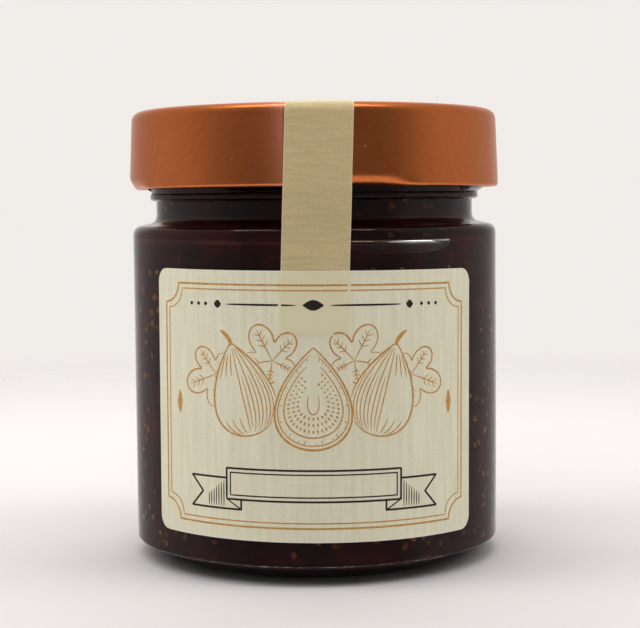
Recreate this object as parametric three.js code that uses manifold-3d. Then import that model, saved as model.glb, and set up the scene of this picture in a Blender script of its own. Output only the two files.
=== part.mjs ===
// A sealed glass jar of fig jam: a straight-sided jar with a deep twist-off lid, a label and a paper seal.
// Millimetres, +Z up. The origin is the middle of the foot, and the label faces -Y.
// Angles about the axis run from the front (-Y) towards +X, which is anticlockwise seen from above.
import * as THREE from "three";
import { mergeVertices } from "three/addons/utils/BufferGeometryUtils.js";
import Module from "manifold-3d";

// Jar: outside
const BODY_RADIUS = 42;
const HEEL_HEIGHT = 4.2; // the wall ends here, and the base slopes in under it to the foot
const HEEL_ROUND = 0.8;
const FOOT_OUTER_RADIUS = 32.5; // outer edge of the flat ring that the jar stands on
const FOOT_INNER_RADIUS = 27;
const PUNT_RISE = 1; // hollow under the middle of the base
const PUNT_FLAT_RADIUS = 16; // the hollow is nearly level out to here
const SHOULDER_HEIGHT = 75.9;
const SHOULDER_CORNER = 2.2;
const SHOULDER_RISE = 0.4; // slope of the shoulder from the corner in to the neck
const NECK_RADIUS = 36.57;
const NECK_FILLET = 1.9;
const BEAD_RADIUS = 37.95; // lip that the lid's edge stands over
const BEAD_BOTTOM = 81.4;
const BEAD_TOP = 83;
const FINISH_RADIUS = 37.7; // wall that carries the threads
const RIM_HEIGHT = 100.25;
const RIM_ROUND = 0.9;

// Jar: inside
const WALL = 2.7;
const BASE_THICKNESS = 2.6;
const INNER_HEEL = 2.5;
const MOUTH_RADIUS = 33.9;

// Threads of the twist-off finish
const STARTS = 4;
const LEAD = 12; // rise in one full turn
const THREAD_RADIUS = 39.5;
const THREAD_HALF_HEIGHT = 1.1;
const THREAD_HALF_CREST = 0.45; // flat outer face of the rib
const THREAD_ROOT = 0.5; // depth that the rib reaches into the wall
const THREAD_BEFORE_LUG = 42; // degrees of thread on the tight side of a closed lug
const THREAD_AFTER_LUG = 20; // degrees of thread that a lug passes as it is turned off
const STOP_SPAN = 24; // degrees of each thread's tight end that run down to the bead as a stop
const STOP_BOTTOM = 82.9;
const STOP_BEVEL = 1.5;

// Lid
const LID_TOP = 101.7;
const LID_BOTTOM = 84.12;
const LID_TOP_RADIUS = 41.95;
const LID_BOTTOM_RADIUS = 42.55;
const LID_CORNER = 2.2;
const SHEET = 0.3;
const PANEL_RADIUS = 33; // sunken middle of the top
const PANEL_DROP = 0.6;
const PANEL_SLOPE = 1.2; // width of the step down to it
const CURL_RADIUS = 0.9; // rolled lower edge
const LUG_ANGLE = 12; // the first lug, to the right of the front
const LUG_SPAN = 14;
const LUG_RADIUS = 38.6;
const LUG_BOTTOM = 84.57;
const LUG_TOP = 86.7;
const LUG_TO_THREAD = 0.3;

// Sealing ring under the lid
const GASKET_INNER_RADIUS = 34.7;
const GASKET_OUTER_RADIUS = 38.9;
const SEAT = 0.05; // gap on each side of the ring

// Filling
const JAM_TOP = 90.5;
const JAM_GAP = 0.3;

// Paper
const PAPER = 0.12;
const GLUE = 0.06;
const LABEL_LEFT = -53.9;
const LABEL_RIGHT = 52.3;
const LABEL_BOTTOM = 9.6;
const LABEL_TOP = 66.7;
const LABEL_CORNER = 3;
const LABEL_OFFSET = 0.24; // clears the end of the seal, which runs under the label
const STRIP_WIDTH = 14.4;
const STRIP_LOW_END = 53.8;
const STRIP_ON_TOP = 52; // length on the lid's top, measured from the edge
const STRIP_LEAN = Math.tan(THREE.MathUtils.degToRad(2)); // the strip was stuck on a little askew
const STRIP_PLUMB_HEIGHT = 64.5; // height where its centre line crosses the front
const TEAR_GAP = 0.3; // the strip parts here, level with the lid's edge, when the lid is first turned

// Fineness of the solids
const SEGMENTS = 48;
const CURVE_STEPS = 3;
const ARC_STEPS = 2 * CURVE_STEPS; // a path draws its arcs twice as finely as its other curves
const STEP_ANGLE = 4; // degrees between the sections of what is swept about the axis
const TOP_STEP = 6; // length between the strip's sections on the lid's top
const STRIP_COLUMNS = 6;
const MERGE_DISTANCE = 1e-4;

const FULL_TURN = 360;
const QUARTER_TURN = 90;

const wasm = await Module();
wasm.setup();

const radians = THREE.MathUtils.degToRad;
const degrees = THREE.MathUtils.radToDeg;

// A point at a radius, an angle in degrees and a height.
function polar(radius, angle, height) {
  const turn = radians(angle);
  return new THREE.Vector3(radius * Math.sin(turn), -radius * Math.cos(turn), height);
}

// Values from start to end, both included, no further apart than step.
function stepsBetween(start, end, step) {
  const count = Math.max(1, Math.ceil(Math.abs(end - start) / step));
  return Array.from({ length: count + 1 }, (_, i) => start + ((end - start) * i) / count);
}

// A solid of revolution about +Z. The path is drawn as (radius, height).
function turned(path) {
  return new THREE.LatheGeometry(path.getPoints(CURVE_STEPS), SEGMENTS).rotateX(Math.PI / 2);
}

// A closed solid through a row of rings with equal counts of points, with flat ends.
// Each ring runs anticlockwise, seen from the end of the row.
function swept(rings) {
  const count = rings[0].length;
  const positions = rings.flat().flatMap((p) => p.toArray());
  const index = [];
  for (let i = 0; i + 1 < rings.length; i++) {
    for (let j = 0; j < count; j++) {
      const a = i * count + j;
      const b = i * count + ((j + 1) % count);
      index.push(a, b, a + count, b, b + count, a + count);
    }
  }
  const last = (rings.length - 1) * count;
  for (let j = 0; j + 1 < count / 2; j++) {
    const k = count - 1 - j;
    index.push(j, k, j + 1, j + 1, k, k - 1);
    index.push(last + j, last + j + 1, last + k, last + j + 1, last + k - 1, last + k);
  }
  const geometry = new THREE.BufferGeometry();
  geometry.setAttribute("position", new THREE.Float32BufferAttribute(positions, 3));
  geometry.setIndex(index);
  return geometry;
}

// A three.js geometry as a solid that can be joined and cut.
function solid(geometry) {
  const bare = geometry.clone();
  bare.deleteAttribute("normal");
  bare.deleteAttribute("uv");
  const merged = mergeVertices(bare, MERGE_DISTANCE);
  const vertProperties = new Float32Array(merged.attributes.position.array);
  const triVerts = new Uint32Array(merged.index.array);
  return new wasm.Manifold(new wasm.Mesh({ numProp: 3, vertProperties, triVerts }));
}

// A joined solid back as a three.js geometry.
function geometryOf(manifold) {
  const mesh = manifold.getMesh();
  const geometry = new THREE.BufferGeometry();
  geometry.setAttribute("position", new THREE.BufferAttribute(mesh.vertProperties, 3));
  geometry.setIndex(new THREE.BufferAttribute(mesh.triVerts, 1));
  geometry.computeVertexNormals();
  return geometry;
}

// One copy of a piece for each thread start.
function aroundNeck(geometry) {
  return Array.from({ length: STARTS }, (_, i) =>
    geometry.clone().rotateZ((i * 2 * Math.PI) / STARTS),
  );
}

// Radius of the lid's outside at a height on its skirt, which flares a little down to the rolled edge.
function skirtRadius(height) {
  const cornerHeight = LID_TOP - LID_CORNER;
  const share = (cornerHeight - height) / (cornerHeight - LID_BOTTOM - CURL_RADIUS);
  return LID_TOP_RADIUS + (LID_BOTTOM_RADIUS - LID_TOP_RADIUS) * share;
}

// Outline of the jar from the middle of its base, up the outside, over the rim and down the inside.
function jarPath() {
  const slope = new THREE.Vector2(BODY_RADIUS - FOOT_OUTER_RADIUS, HEEL_HEIGHT);
  const slopeEnd = 1 - HEEL_ROUND / slope.length();
  const inner = BODY_RADIUS - WALL;
  const floor = BASE_THICKNESS + PUNT_RISE;
  const innerShoulder = SHOULDER_HEIGHT - WALL;
  const filletHeight = SHOULDER_HEIGHT + SHOULDER_RISE + NECK_FILLET;
  const path = new THREE.Path();
  path.moveTo(0, PUNT_RISE);
  path.quadraticCurveTo(PUNT_FLAT_RADIUS, PUNT_RISE, FOOT_INNER_RADIUS, 0);
  path.lineTo(FOOT_OUTER_RADIUS, 0);
  path.lineTo(FOOT_OUTER_RADIUS + slope.x * slopeEnd, slope.y * slopeEnd);
  path.quadraticCurveTo(BODY_RADIUS, HEEL_HEIGHT, BODY_RADIUS, HEEL_HEIGHT + HEEL_ROUND);
  const cornerHeight = SHOULDER_HEIGHT - SHOULDER_CORNER;
  path.absarc(BODY_RADIUS - SHOULDER_CORNER, cornerHeight, SHOULDER_CORNER, 0, Math.PI / 2);
  path.absarc(NECK_RADIUS + NECK_FILLET, filletHeight, NECK_FILLET, -Math.PI / 2, -Math.PI, true);
  path.lineTo(NECK_RADIUS, BEAD_BOTTOM);
  path.quadraticCurveTo(BEAD_RADIUS, BEAD_BOTTOM, BEAD_RADIUS, (BEAD_BOTTOM + BEAD_TOP) / 2);
  path.lineTo(FINISH_RADIUS, BEAD_TOP);
  path.absarc(FINISH_RADIUS - RIM_ROUND, RIM_HEIGHT - RIM_ROUND, RIM_ROUND, 0, Math.PI / 2);
  path.absarc(MOUTH_RADIUS + RIM_ROUND, RIM_HEIGHT - RIM_ROUND, RIM_ROUND, Math.PI / 2, Math.PI);
  path.lineTo(MOUTH_RADIUS, filletHeight);
  const wallTop = innerShoulder - NECK_FILLET;
  path.bezierCurveTo(MOUTH_RADIUS, innerShoulder, inner, innerShoulder, inner, wallTop);
  path.absarc(inner - INNER_HEEL, floor + INNER_HEEL, INNER_HEEL, 0, -Math.PI / 2, true);
  path.lineTo(0, floor);
  return path;
}

// One helical rib of the finish, from its stop up to its free end.
function threadRib(firstAngle) {
  const underAtLug = LUG_TOP + LUG_TO_THREAD + (LEAD * LUG_SPAN) / 2 / FULL_TURN;
  const root = FINISH_RADIUS - THREAD_ROOT;
  const rings = stepsBetween(-THREAD_BEFORE_LUG, THREAD_AFTER_LUG, STEP_ANGLE).map((turn) => {
    const middle = underAtLug + THREAD_HALF_HEIGHT + (LEAD * turn) / FULL_TURN;
    const onStop = turn < STOP_SPAN - THREAD_BEFORE_LUG;
    const low = onStop ? STOP_BOTTOM : middle - THREAD_HALF_HEIGHT;
    const bevel = onStop ? STOP_BEVEL : THREAD_HALF_HEIGHT - THREAD_HALF_CREST;
    const angle = firstAngle + turn;
    return [
      polar(root, angle, middle + THREAD_HALF_HEIGHT),
      polar(THREAD_RADIUS, angle, middle + THREAD_HALF_CREST),
      polar(THREAD_RADIUS, angle, low + bevel),
      polar(root, angle, low),
    ];
  });
  return swept(rings);
}

function glassJar() {
  const ribs = aroundNeck(threadRib(LUG_ANGLE)).map(solid);
  const joined = ribs.reduce((jar, rib) => jar.add(rib), solid(turned(jarPath())));
  return geometryOf(joined);
}

// The jam, which fills the jar up into the neck.
function figJam() {
  const radius = BODY_RADIUS - WALL - JAM_GAP;
  const neck = MOUTH_RADIUS - JAM_GAP;
  const low = BASE_THICKNESS + PUNT_RISE + JAM_GAP;
  const shoulder = SHOULDER_HEIGHT - WALL - JAM_GAP;
  const path = new THREE.Path();
  path.moveTo(0, low);
  path.lineTo(radius - INNER_HEEL, low);
  path.absarc(radius - INNER_HEEL, low + INNER_HEEL, INNER_HEEL, -Math.PI / 2, 0);
  path.lineTo(radius, shoulder - NECK_FILLET);
  const neckStart = SHOULDER_HEIGHT + SHOULDER_RISE + NECK_FILLET - JAM_GAP;
  path.bezierCurveTo(radius, shoulder, neck, shoulder, neck, neckStart);
  path.lineTo(neck, JAM_TOP);
  path.lineTo(0, JAM_TOP);
  return turned(path);
}

// Outline of the lid's sheet from the middle of its underside, round the rolled edge and back over the top.
function lidPath() {
  const panel = LID_TOP - PANEL_DROP;
  const cornerHeight = LID_TOP - LID_CORNER;
  const cornerRadius = LID_TOP_RADIUS - LID_CORNER;
  const curlCentre = LID_BOTTOM_RADIUS - CURL_RADIUS;
  const curlHeight = LID_BOTTOM + CURL_RADIUS;
  const path = new THREE.Path();
  path.moveTo(0, panel - SHEET);
  path.lineTo(PANEL_RADIUS, panel - SHEET);
  path.lineTo(PANEL_RADIUS + PANEL_SLOPE, LID_TOP - SHEET);
  path.absarc(cornerRadius, cornerHeight, LID_CORNER - SHEET, Math.PI / 2, 0, true);
  path.lineTo(skirtRadius(curlHeight + CURL_RADIUS) - SHEET, curlHeight + CURL_RADIUS);
  path.absarc(curlCentre, curlHeight, CURL_RADIUS, Math.PI / 2, 2 * Math.PI);
  path.absarc(cornerRadius, cornerHeight, LID_CORNER, 0, Math.PI / 2);
  path.lineTo(PANEL_RADIUS + PANEL_SLOPE, LID_TOP);
  path.lineTo(PANEL_RADIUS, panel);
  path.lineTo(0, panel);
  return path;
}

// A stretch of the rolled edge that is pressed inwards, to hook under a thread.
function lug(middleAngle) {
  const outer = LID_BOTTOM_RADIUS - CURL_RADIUS;
  const angles = stepsBetween(middleAngle - LUG_SPAN / 2, middleAngle + LUG_SPAN / 2, STEP_ANGLE);
  const rings = angles.map((angle) => [
    polar(LUG_RADIUS, angle, LUG_BOTTOM + CURL_RADIUS),
    polar(LUG_RADIUS, angle, LUG_TOP),
    polar(outer, angle, LUG_TOP - CURL_RADIUS / 2),
    polar(outer, angle, LUG_BOTTOM),
  ]);
  return swept(rings);
}

function lidShell() {
  const lugs = aroundNeck(lug(LUG_ANGLE)).map(solid);
  return geometryOf(lugs.reduce((lid, one) => lid.add(one), solid(turned(lidPath()))));
}

function lidGasket() {
  const path = new THREE.Path();
  const low = RIM_HEIGHT + SEAT;
  const high = LID_TOP - SHEET - SEAT;
  path.moveTo(GASKET_INNER_RADIUS, low);
  path.lineTo(GASKET_OUTER_RADIUS, low);
  path.lineTo(GASKET_OUTER_RADIUS, high);
  path.lineTo(GASKET_INNER_RADIUS, high);
  path.lineTo(GASKET_INNER_RADIUS, low);
  return turned(path);
}

// How far the label's edge is drawn in, at a distance from its side, by the round corner.
function cornerInset(distance) {
  const left = LABEL_CORNER - Math.min(distance, LABEL_CORNER);
  return LABEL_CORNER - Math.sqrt(LABEL_CORNER ** 2 - left ** 2);
}

function frontLabel() {
  const inner = BODY_RADIUS + LABEL_OFFSET;
  const outer = inner + PAPER;
  const corner = degrees(LABEL_CORNER / inner);
  const angles = [
    ...stepsBetween(LABEL_LEFT, LABEL_LEFT + corner, corner / ARC_STEPS),
    ...stepsBetween(LABEL_LEFT + corner, LABEL_RIGHT - corner, STEP_ANGLE).slice(1, -1),
    ...stepsBetween(LABEL_RIGHT - corner, LABEL_RIGHT, corner / ARC_STEPS),
  ];
  const rings = angles.map((angle) => {
    const inset = cornerInset(radians(Math.min(angle - LABEL_LEFT, LABEL_RIGHT - angle)) * inner);
    return [
      polar(inner, angle, LABEL_TOP - inset),
      polar(outer, angle, LABEL_TOP - inset),
      polar(outer, angle, LABEL_BOTTOM + inset),
      polar(inner, angle, LABEL_BOTTOM + inset),
    ];
  });
  return swept(rings);
}

// One section across the strip: its outer face, then its inner face back again.
function stripRing(place) {
  const across = stepsBetween(-STRIP_WIDTH / 2, STRIP_WIDTH / 2, STRIP_WIDTH / STRIP_COLUMNS);
  const outer = across.map((side) => place(side, GLUE + PAPER));
  const inner = across.map((side) => place(side, GLUE));
  return [...outer, ...inner.reverse()];
}

// Angle of a point of the strip on the upright walls.
function stripAngle(side, height) {
  const across = side + (height - STRIP_PLUMB_HEIGHT) * STRIP_LEAN;
  return degrees(across / BODY_RADIUS);
}

// The part of the seal that is stuck to the lid: up the skirt, round the corner and back over the top.
function sealStripOnLid() {
  const cornerHeight = LID_TOP - LID_CORNER;
  const cornerRadius = LID_TOP_RADIUS - LID_CORNER;
  const skirt = [LID_BOTTOM, LID_BOTTOM + CURL_RADIUS, cornerHeight].map((height) =>
    stripRing((side, lift) => polar(skirtRadius(height) + lift, stripAngle(side, height), height)),
  );
  const bends = stepsBetween(0, QUARTER_TURN, QUARTER_TURN / ARC_STEPS).slice(1);
  const corner = bends.map((bend) =>
    stripRing((side, lift) => {
      const reach = LID_CORNER + lift;
      const radius = cornerRadius + reach * Math.cos(radians(bend));
      return polar(radius, stripAngle(side, LID_TOP), cornerHeight + reach * Math.sin(radians(bend)));
    }),
  );
  const overTop = stepsBetween(TOP_STEP, STRIP_ON_TOP, TOP_STEP);
  const top = overTop.map((travel) =>
    stripRing((side, lift) => {
      const start = polar(cornerRadius, stripAngle(side, LID_TOP), LID_TOP + lift);
      return start.add(new THREE.Vector3(travel * STRIP_LEAN, travel, 0));
    }),
  );
  return swept([...skirt, ...corner, ...top]);
}

// The part of the seal that is stuck to the glass: from its end under the label up to the lid's edge.
function sealStripOnJar() {
  const high = LID_BOTTOM - TEAR_GAP;
  const wallTop = SHOULDER_HEIGHT - SHOULDER_CORNER;
  const heights = [...stepsBetween(STRIP_LOW_END, wallTop, TOP_STEP), high];
  const rings = heights.map((height) => {
    const radius = height === high ? LID_BOTTOM_RADIUS : BODY_RADIUS;
    return stripRing((side, lift) => polar(radius + lift, stripAngle(side, height), height));
  });
  return swept(rings);
}

const clear = { transparent: true, opacity: 0.35 };
const finishes = {
  glass: { color: 0xdfe6e2, roughness: 0.03, metalness: 0, ...clear },
  jam: { color: 0x2a1114, roughness: 0.25, metalness: 0 },
  copperLacquer: { color: 0xa85a2b, roughness: 0.3, metalness: 1 },
  sealant: { color: 0xe8e4d8, roughness: 0.6, metalness: 0 },
  laidPaper: { color: 0xcabf9f, roughness: 0.85, metalness: 0 },
};

// A named mesh of one piece, with a material of its own.
function piece(name, geometry, finish) {
  const mesh = new THREE.Mesh(geometry, new THREE.MeshStandardMaterial(finishes[finish]));
  mesh.name = name;
  return mesh;
}

const jar = new THREE.Group();
jar.add(
  piece("glass_jar", glassJar(), "glass"),
  piece("fig_jam", figJam(), "jam"),
  piece("front_label", frontLabel(), "laidPaper"),
  piece("seal_strip_jar", sealStripOnJar(), "laidPaper"),
);

const lid = new THREE.Group();
lid.add(
  piece("lid", lidShell(), "copperLacquer"),
  piece("lid_gasket", lidGasket(), "sealant"),
  piece("seal_strip_lid", sealStripOnLid(), "laidPaper"),
);

const sealedJar = new THREE.Group();
sealedJar.add(jar, lid);

export default sealedJar;
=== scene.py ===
"""Looks of a sealed jar of fig jam: glass, jam and seeds, a copper-coloured lid, a label and a paper seal.

Sizes are in millimetres. Angles about the jar's axis are in degrees, from the front (-Y) towards +X.
"""

import logging
import math
import random
from abc import ABC, abstractmethod
from collections.abc import Callable, Sequence
from dataclasses import dataclass, field
from enum import Enum
from typing import Any, ClassVar

import bmesh
import bpy
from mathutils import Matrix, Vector


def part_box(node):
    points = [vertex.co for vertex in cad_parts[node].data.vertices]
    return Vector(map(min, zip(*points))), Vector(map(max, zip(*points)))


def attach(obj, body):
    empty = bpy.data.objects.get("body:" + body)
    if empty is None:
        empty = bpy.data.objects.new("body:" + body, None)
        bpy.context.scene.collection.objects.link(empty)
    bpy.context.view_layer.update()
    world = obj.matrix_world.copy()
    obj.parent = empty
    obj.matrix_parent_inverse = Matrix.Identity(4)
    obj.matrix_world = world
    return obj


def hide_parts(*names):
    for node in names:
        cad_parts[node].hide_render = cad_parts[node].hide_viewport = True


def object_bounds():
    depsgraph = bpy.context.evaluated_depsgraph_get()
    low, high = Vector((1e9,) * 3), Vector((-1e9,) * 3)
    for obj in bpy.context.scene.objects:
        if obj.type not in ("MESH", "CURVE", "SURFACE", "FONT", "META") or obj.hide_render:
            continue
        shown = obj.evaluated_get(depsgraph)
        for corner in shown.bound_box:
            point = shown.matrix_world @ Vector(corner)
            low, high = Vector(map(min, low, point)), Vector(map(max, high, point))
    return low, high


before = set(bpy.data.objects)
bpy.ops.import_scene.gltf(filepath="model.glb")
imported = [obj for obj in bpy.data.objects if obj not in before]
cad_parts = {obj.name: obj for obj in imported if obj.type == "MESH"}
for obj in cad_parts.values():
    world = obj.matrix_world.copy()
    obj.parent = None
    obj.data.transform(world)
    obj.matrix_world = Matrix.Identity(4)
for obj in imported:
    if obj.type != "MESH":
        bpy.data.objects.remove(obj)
cad_low, cad_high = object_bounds()

log = logging.getLogger("fig_jam_jar")

MM = 0.001
SHARP_ANGLE = math.radians(40)
ARC_STEP = 9  # degrees between the points of an arc
TAG = "sheet_mm"  # mesh attribute: place on a flat sheet, across and along, and the distance to its edge
TONE = "tone"  # mesh attribute: one share from 0 to 1

UNIT = (0.0, 1.0)

Point = tuple[float, float]
Triple = tuple[float, float, float]
Grid = list[list[Vector]]
Bend = Callable[[float, float, float], Point]
Tree = bpy.types.NodeTree
Socket = bpy.types.NodeSocket
Piece = bpy.types.Object


class Body(Enum):
    """The bodies that the pieces ride on."""

    JAR = "jar"
    LID = "lid"


class Slot(Enum):
    """Names of the material slots."""

    GLASS = "flint_glass"
    JAM = "fig_jam"
    LACQUER = "copper_lacquer"
    LABEL = "label_paper"
    SEAL = "seal_paper"


class Ink(Enum):
    """The two inks that the label is printed with."""

    OCHRE = "ochre"
    DARK = "dark"


def linear(colour: str) -> tuple[float, float, float, float]:
    """Turns six hex digits of sRGB colour to linear red, green and blue, with an alpha of 1."""
    shares = [int(colour[i : i + 2], 16) / 255 for i in (0, 2, 4)]
    red, green, blue = (s / 12.92 if s <= 0.04045 else ((s + 0.055) / 1.055) ** 2.4 for s in shares)
    return (red, green, blue, 1.0)


def feed(tree: Tree, node: bpy.types.Node, inputs: dict[str | int, Any]) -> None:
    """Sets or links the inputs of a node.

    Args:
        tree: Node tree that holds the node.
        node: Node to feed.
        inputs: A value, or an output socket to link, for each input's name or number.
    """
    for key, value in inputs.items():
        if isinstance(value, Socket):
            tree.links.new(value, node.inputs[key])
        else:
            node.inputs[key].default_value = value


def add_node(
    tree: Tree, kind: str, inputs: dict[str | int, Any] | None = None, **settings: Any
) -> bpy.types.Node:
    """Adds a node with its settings and links.

    Args:
        tree: Node tree to add to.
        kind: Blender's name for the kind of node.
        inputs: A value, or an output socket to link, for each input's name or number.
        settings: Attributes of the node itself.

    Returns:
        The new node.
    """
    node = tree.nodes.new(kind)
    for name, value in settings.items():
        setattr(node, name, value)
    feed(tree, node, inputs or {})
    return node


def smooth(low: float, high: float, value: float) -> float:
    """Eases from 0 at low to 1 at high."""
    share = min(1.0, max(0.0, (value - low) / (high - low)))
    return share * share * (3 - 2 * share)


def between(start: float, end: float, step: float) -> list[float]:
    """Lists evenly spaced values from start to end, both included, at most a step apart."""
    count = max(1, math.ceil(abs(end - start) / step))
    return [start + (end - start) * i / count for i in range(count + 1)]


def straight(start: Point, end: Point, step: float) -> list[Point]:
    """Divides a straight line into points that are at most a step apart."""
    shares = between(0, 1, step / max(step, math.dist(start, end)))
    return [(start[0] + (end[0] - start[0]) * s, start[1] + (end[1] - start[1]) * s) for s in shares]


def path_through(corners: Sequence[Point], step: float) -> list[Point]:
    """Divides the straight lines from corner to corner."""
    return [point for a, b in zip(corners, corners[1:]) for point in straight(a, b, step)]


def arc(centre: Point, radius: float, start: float, end: float, step: float = ARC_STEP) -> list[Point]:
    """Divides an arc of a profile.

    Args:
        centre: Middle of the circle.
        radius: Its radius.
        start: First angle in degrees, anticlockwise from the right.
        end: Last angle.
        step: The most degrees between two points.

    Returns:
        Points from start to end.
    """
    turns = [math.radians(a) for a in between(start, end, step)]
    return [(centre[0] + radius * math.cos(a), centre[1] + radius * math.sin(a)) for a in turns]


def bezier(ends: Sequence[Point], pulls: Sequence[Point], steps: int) -> list[Point]:
    """Divides a cubic curve of a profile.

    Args:
        ends: First and last point.
        pulls: The two points that pull the curve.
        steps: Number of stretches.

    Returns:
        Points from the first to the last.
    """
    a, b, c, d = (Vector(p) for p in (ends[0], pulls[0], pulls[1], ends[1]))
    shares = [i / steps for i in range(steps + 1)]
    return [
        tuple(a * (1 - t) ** 3 + b * 3 * t * (1 - t) ** 2 + c * 3 * t * t * (1 - t) + d * t**3)
        for t in shares
    ]


def polar(radius: float, angle: float, height: float) -> Vector:
    """Gives the point at a radius, an angle in degrees and a height."""
    turn = math.radians(angle)
    return Vector((radius * math.sin(turn), -radius * math.cos(turn), height))


def in_radians(pair: Point) -> Point:
    """Turns two angles from degrees to radians."""
    return (math.radians(pair[0]), math.radians(pair[1]))


def ripple(first: float, second: float, wave: Triple) -> float:
    """Gives a wave's height at a place, from its pace one way, its length the other way and its shift."""
    pace, length, shift = wave
    return math.sin(pace * first + second / length + shift)


def add_object(name: str, data: bpy.types.ID) -> Piece:
    """Makes an object and links it to the scene."""
    made = bpy.data.objects.new(name, data)
    bpy.context.scene.collection.objects.link(made)
    return made


def box_mm(node: str) -> tuple[Vector, Vector]:
    """Gives the lowest and highest corner of a CAD node, in millimetres."""
    low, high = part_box(node)
    return low / MM, high / MM


@dataclass
class MeshDraft:
    """Vertices, faces and tags gathered for one mesh, in millimetres."""

    vertices: list[Vector] = field(default_factory=list)
    faces: list[tuple[int, ...]] = field(default_factory=list)
    tags: dict[int, Vector] = field(default_factory=dict)
    tones: dict[int, float] = field(default_factory=dict)

    def add_points(self, points: Sequence[Vector]) -> list[int]:
        """Adds vertices and gives their numbers."""
        first = len(self.vertices)
        self.vertices.extend(points)
        return list(range(first, len(self.vertices)))

    def join_rows(self, rows: Sequence[Sequence[int]], around: bool, closed: bool) -> None:
        """Joins rows of vertices with faces.

        Args:
            rows: Vertex numbers of each row. A row of one vertex is a pole.
            around: Whether each row closes on itself.
            closed: Whether the last row joins the first.
        """
        pairs = list(zip(rows, rows[1:]))
        if closed:
            pairs.append((rows[-1], rows[0]))
        for low, high in pairs:
            count = max(len(low), len(high))
            for i in range(count if around else count - 1):
                j = (i + 1) % count
                corners = [low[i % len(low)], low[j % len(low)], high[j % len(high)], high[i % len(high)]]
                self.faces.append(tuple(dict.fromkeys(corners)))

    def add_lathe(
        self, profile: Sequence[Point], columns: int, bend: Bend | None = None, closed: bool = False
    ) -> None:
        """Turns a profile about the axis.

        Args:
            profile: Radius and height of each point.
            columns: Number of stretches around the axis.
            bend: Gives the radius and height at an angle, a radius and a height.
            closed: Whether the profile closes on itself, away from the axis.
        """
        rows = []
        for radius, height in profile:
            if radius == 0:
                rows.append(self.add_points([Vector((0, 0, height))]))
                continue
            angles = [360 * i / columns for i in range(columns)]
            places = [bend(a, radius, height) if bend else (radius, height) for a in angles]
            rows.append(self.add_points([polar(r, a, z) for a, (r, z) in zip(angles, places)]))
        self.join_rows(rows, around=True, closed=closed)

    def add_slab(self, outer: Grid, inner: Grid, tags: Grid | None = None, tone: float = 0) -> None:
        """Adds a thin closed sheet between two grids of points.

        Args:
            outer: Rows of points of the outer face.
            inner: Rows of points of the inner face.
            tags: Place of each point on the flat sheet.
            tone: One share for the whole sheet.
        """
        front = [self.add_points(row) for row in outer]
        back = [self.add_points(row) for row in inner]
        for rows in (front, back):
            for numbers, row in zip(rows, tags or []):
                self.tags.update(zip(numbers, row))
            self.join_rows(rows, around=False, closed=False)
        rims = [self.rim_of(rows) for rows in (front, back)]
        self.join_rows(rims, around=True, closed=False)
        self.tones.update({n: tone for row in front + back for n in row})

    @staticmethod
    def rim_of(rows: Sequence[Sequence[int]]) -> list[int]:
        """Lists the vertices round the rim of a grid, in order."""
        right = [row[-1] for row in rows[1:-1]]
        left = [row[0] for row in rows[1:-1]]
        return [*rows[0], *right, *reversed(rows[-1]), *reversed(left)]

    def to_object(self, name: str) -> Piece:
        """Makes the mesh object, in metres, with its faces pointing out.

        Args:
            name: Name of the piece.

        Returns:
            The new object, linked to the scene.
        """
        mesh = bpy.data.meshes.new(name)
        mesh.from_pydata([v * MM for v in self.vertices], [], self.faces)
        shape = bmesh.new()
        shape.from_mesh(mesh)
        bmesh.ops.recalc_face_normals(shape, faces=shape.faces)
        shape.to_mesh(mesh)
        shape.free()
        mesh.shade_smooth()
        mesh.set_sharp_from_angle(angle=SHARP_ANGLE)
        if self.tags:
            places = mesh.attributes.new(TAG, "FLOAT_VECTOR", "POINT")
            for number, tag in self.tags.items():
                places.data[number].vector = tag
        if self.tones:
            shares = mesh.attributes.new(TONE, "FLOAT", "POINT")
            for number, tone in self.tones.items():
                shares.data[number].value = tone
        return add_object(name, mesh)


def object_place(tree: Tree) -> Socket:
    """Gives the place on the piece, in metres."""
    return add_node(tree, "ShaderNodeTexCoord").outputs["Object"]


def attribute(tree: Tree, name: str, output: str = "Fac") -> Socket:
    """Gives a mesh attribute."""
    return add_node(tree, "ShaderNodeAttribute", attribute_name=name).outputs[output]


def noise(tree: Tree, place: Socket, size: float, detail: float = 2.0) -> Socket:
    """Gives soft noise whose spots are about as wide as the size, in the place's own unit."""
    inputs = {0: place, "Scale": 1 / size, "Detail": detail}
    return add_node(tree, "ShaderNodeTexNoise", inputs).outputs["Fac"]


def stretched(tree: Tree, sheet: Socket, size: Point) -> Socket:
    """Gives the places on a flat sheet, divided by a size across and a size along."""
    scale = (1 / size[0], 1 / size[1], 0.0)
    return add_node(tree, "ShaderNodeVectorMath", {0: sheet, 1: scale}, operation="MULTIPLY").outputs[0]


def ramp(tree: Tree, value: Socket, ends: Point = UNIT, shares: Point = UNIT, **settings: Any) -> Socket:
    """Carries a value from the range of its ends to the range of its shares, and no further."""
    inputs = {0: value, 1: ends[0], 2: ends[1], 3: shares[0], 4: shares[1]}
    return add_node(tree, "ShaderNodeMapRange", inputs, **settings).outputs[0]


def tint(tree: Tree, share: Socket, first: str | Socket, second: str | Socket) -> Socket:
    """Mixes two colours, each an sRGB hex colour or a socket."""
    first, second = (linear(c) if isinstance(c, str) else c for c in (first, second))
    return add_node(tree, "ShaderNodeMix", {0: share, 6: first, 7: second}, data_type="RGBA").outputs[2]


def blend(tree: Tree, share: float | Socket, first: Socket, second: float | Socket) -> Socket:
    """Mixes two values."""
    return add_node(tree, "ShaderNodeMix", {0: share, 2: first, 3: second}, data_type="FLOAT").outputs[0]


def calculate(tree: Tree, operation: str, *values: float | Socket, clamp: bool = False) -> Socket:
    """Puts values through one step of arithmetic."""
    inputs = dict(enumerate(values))
    return add_node(tree, "ShaderNodeMath", inputs, operation=operation, use_clamp=clamp).outputs[0]


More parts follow.
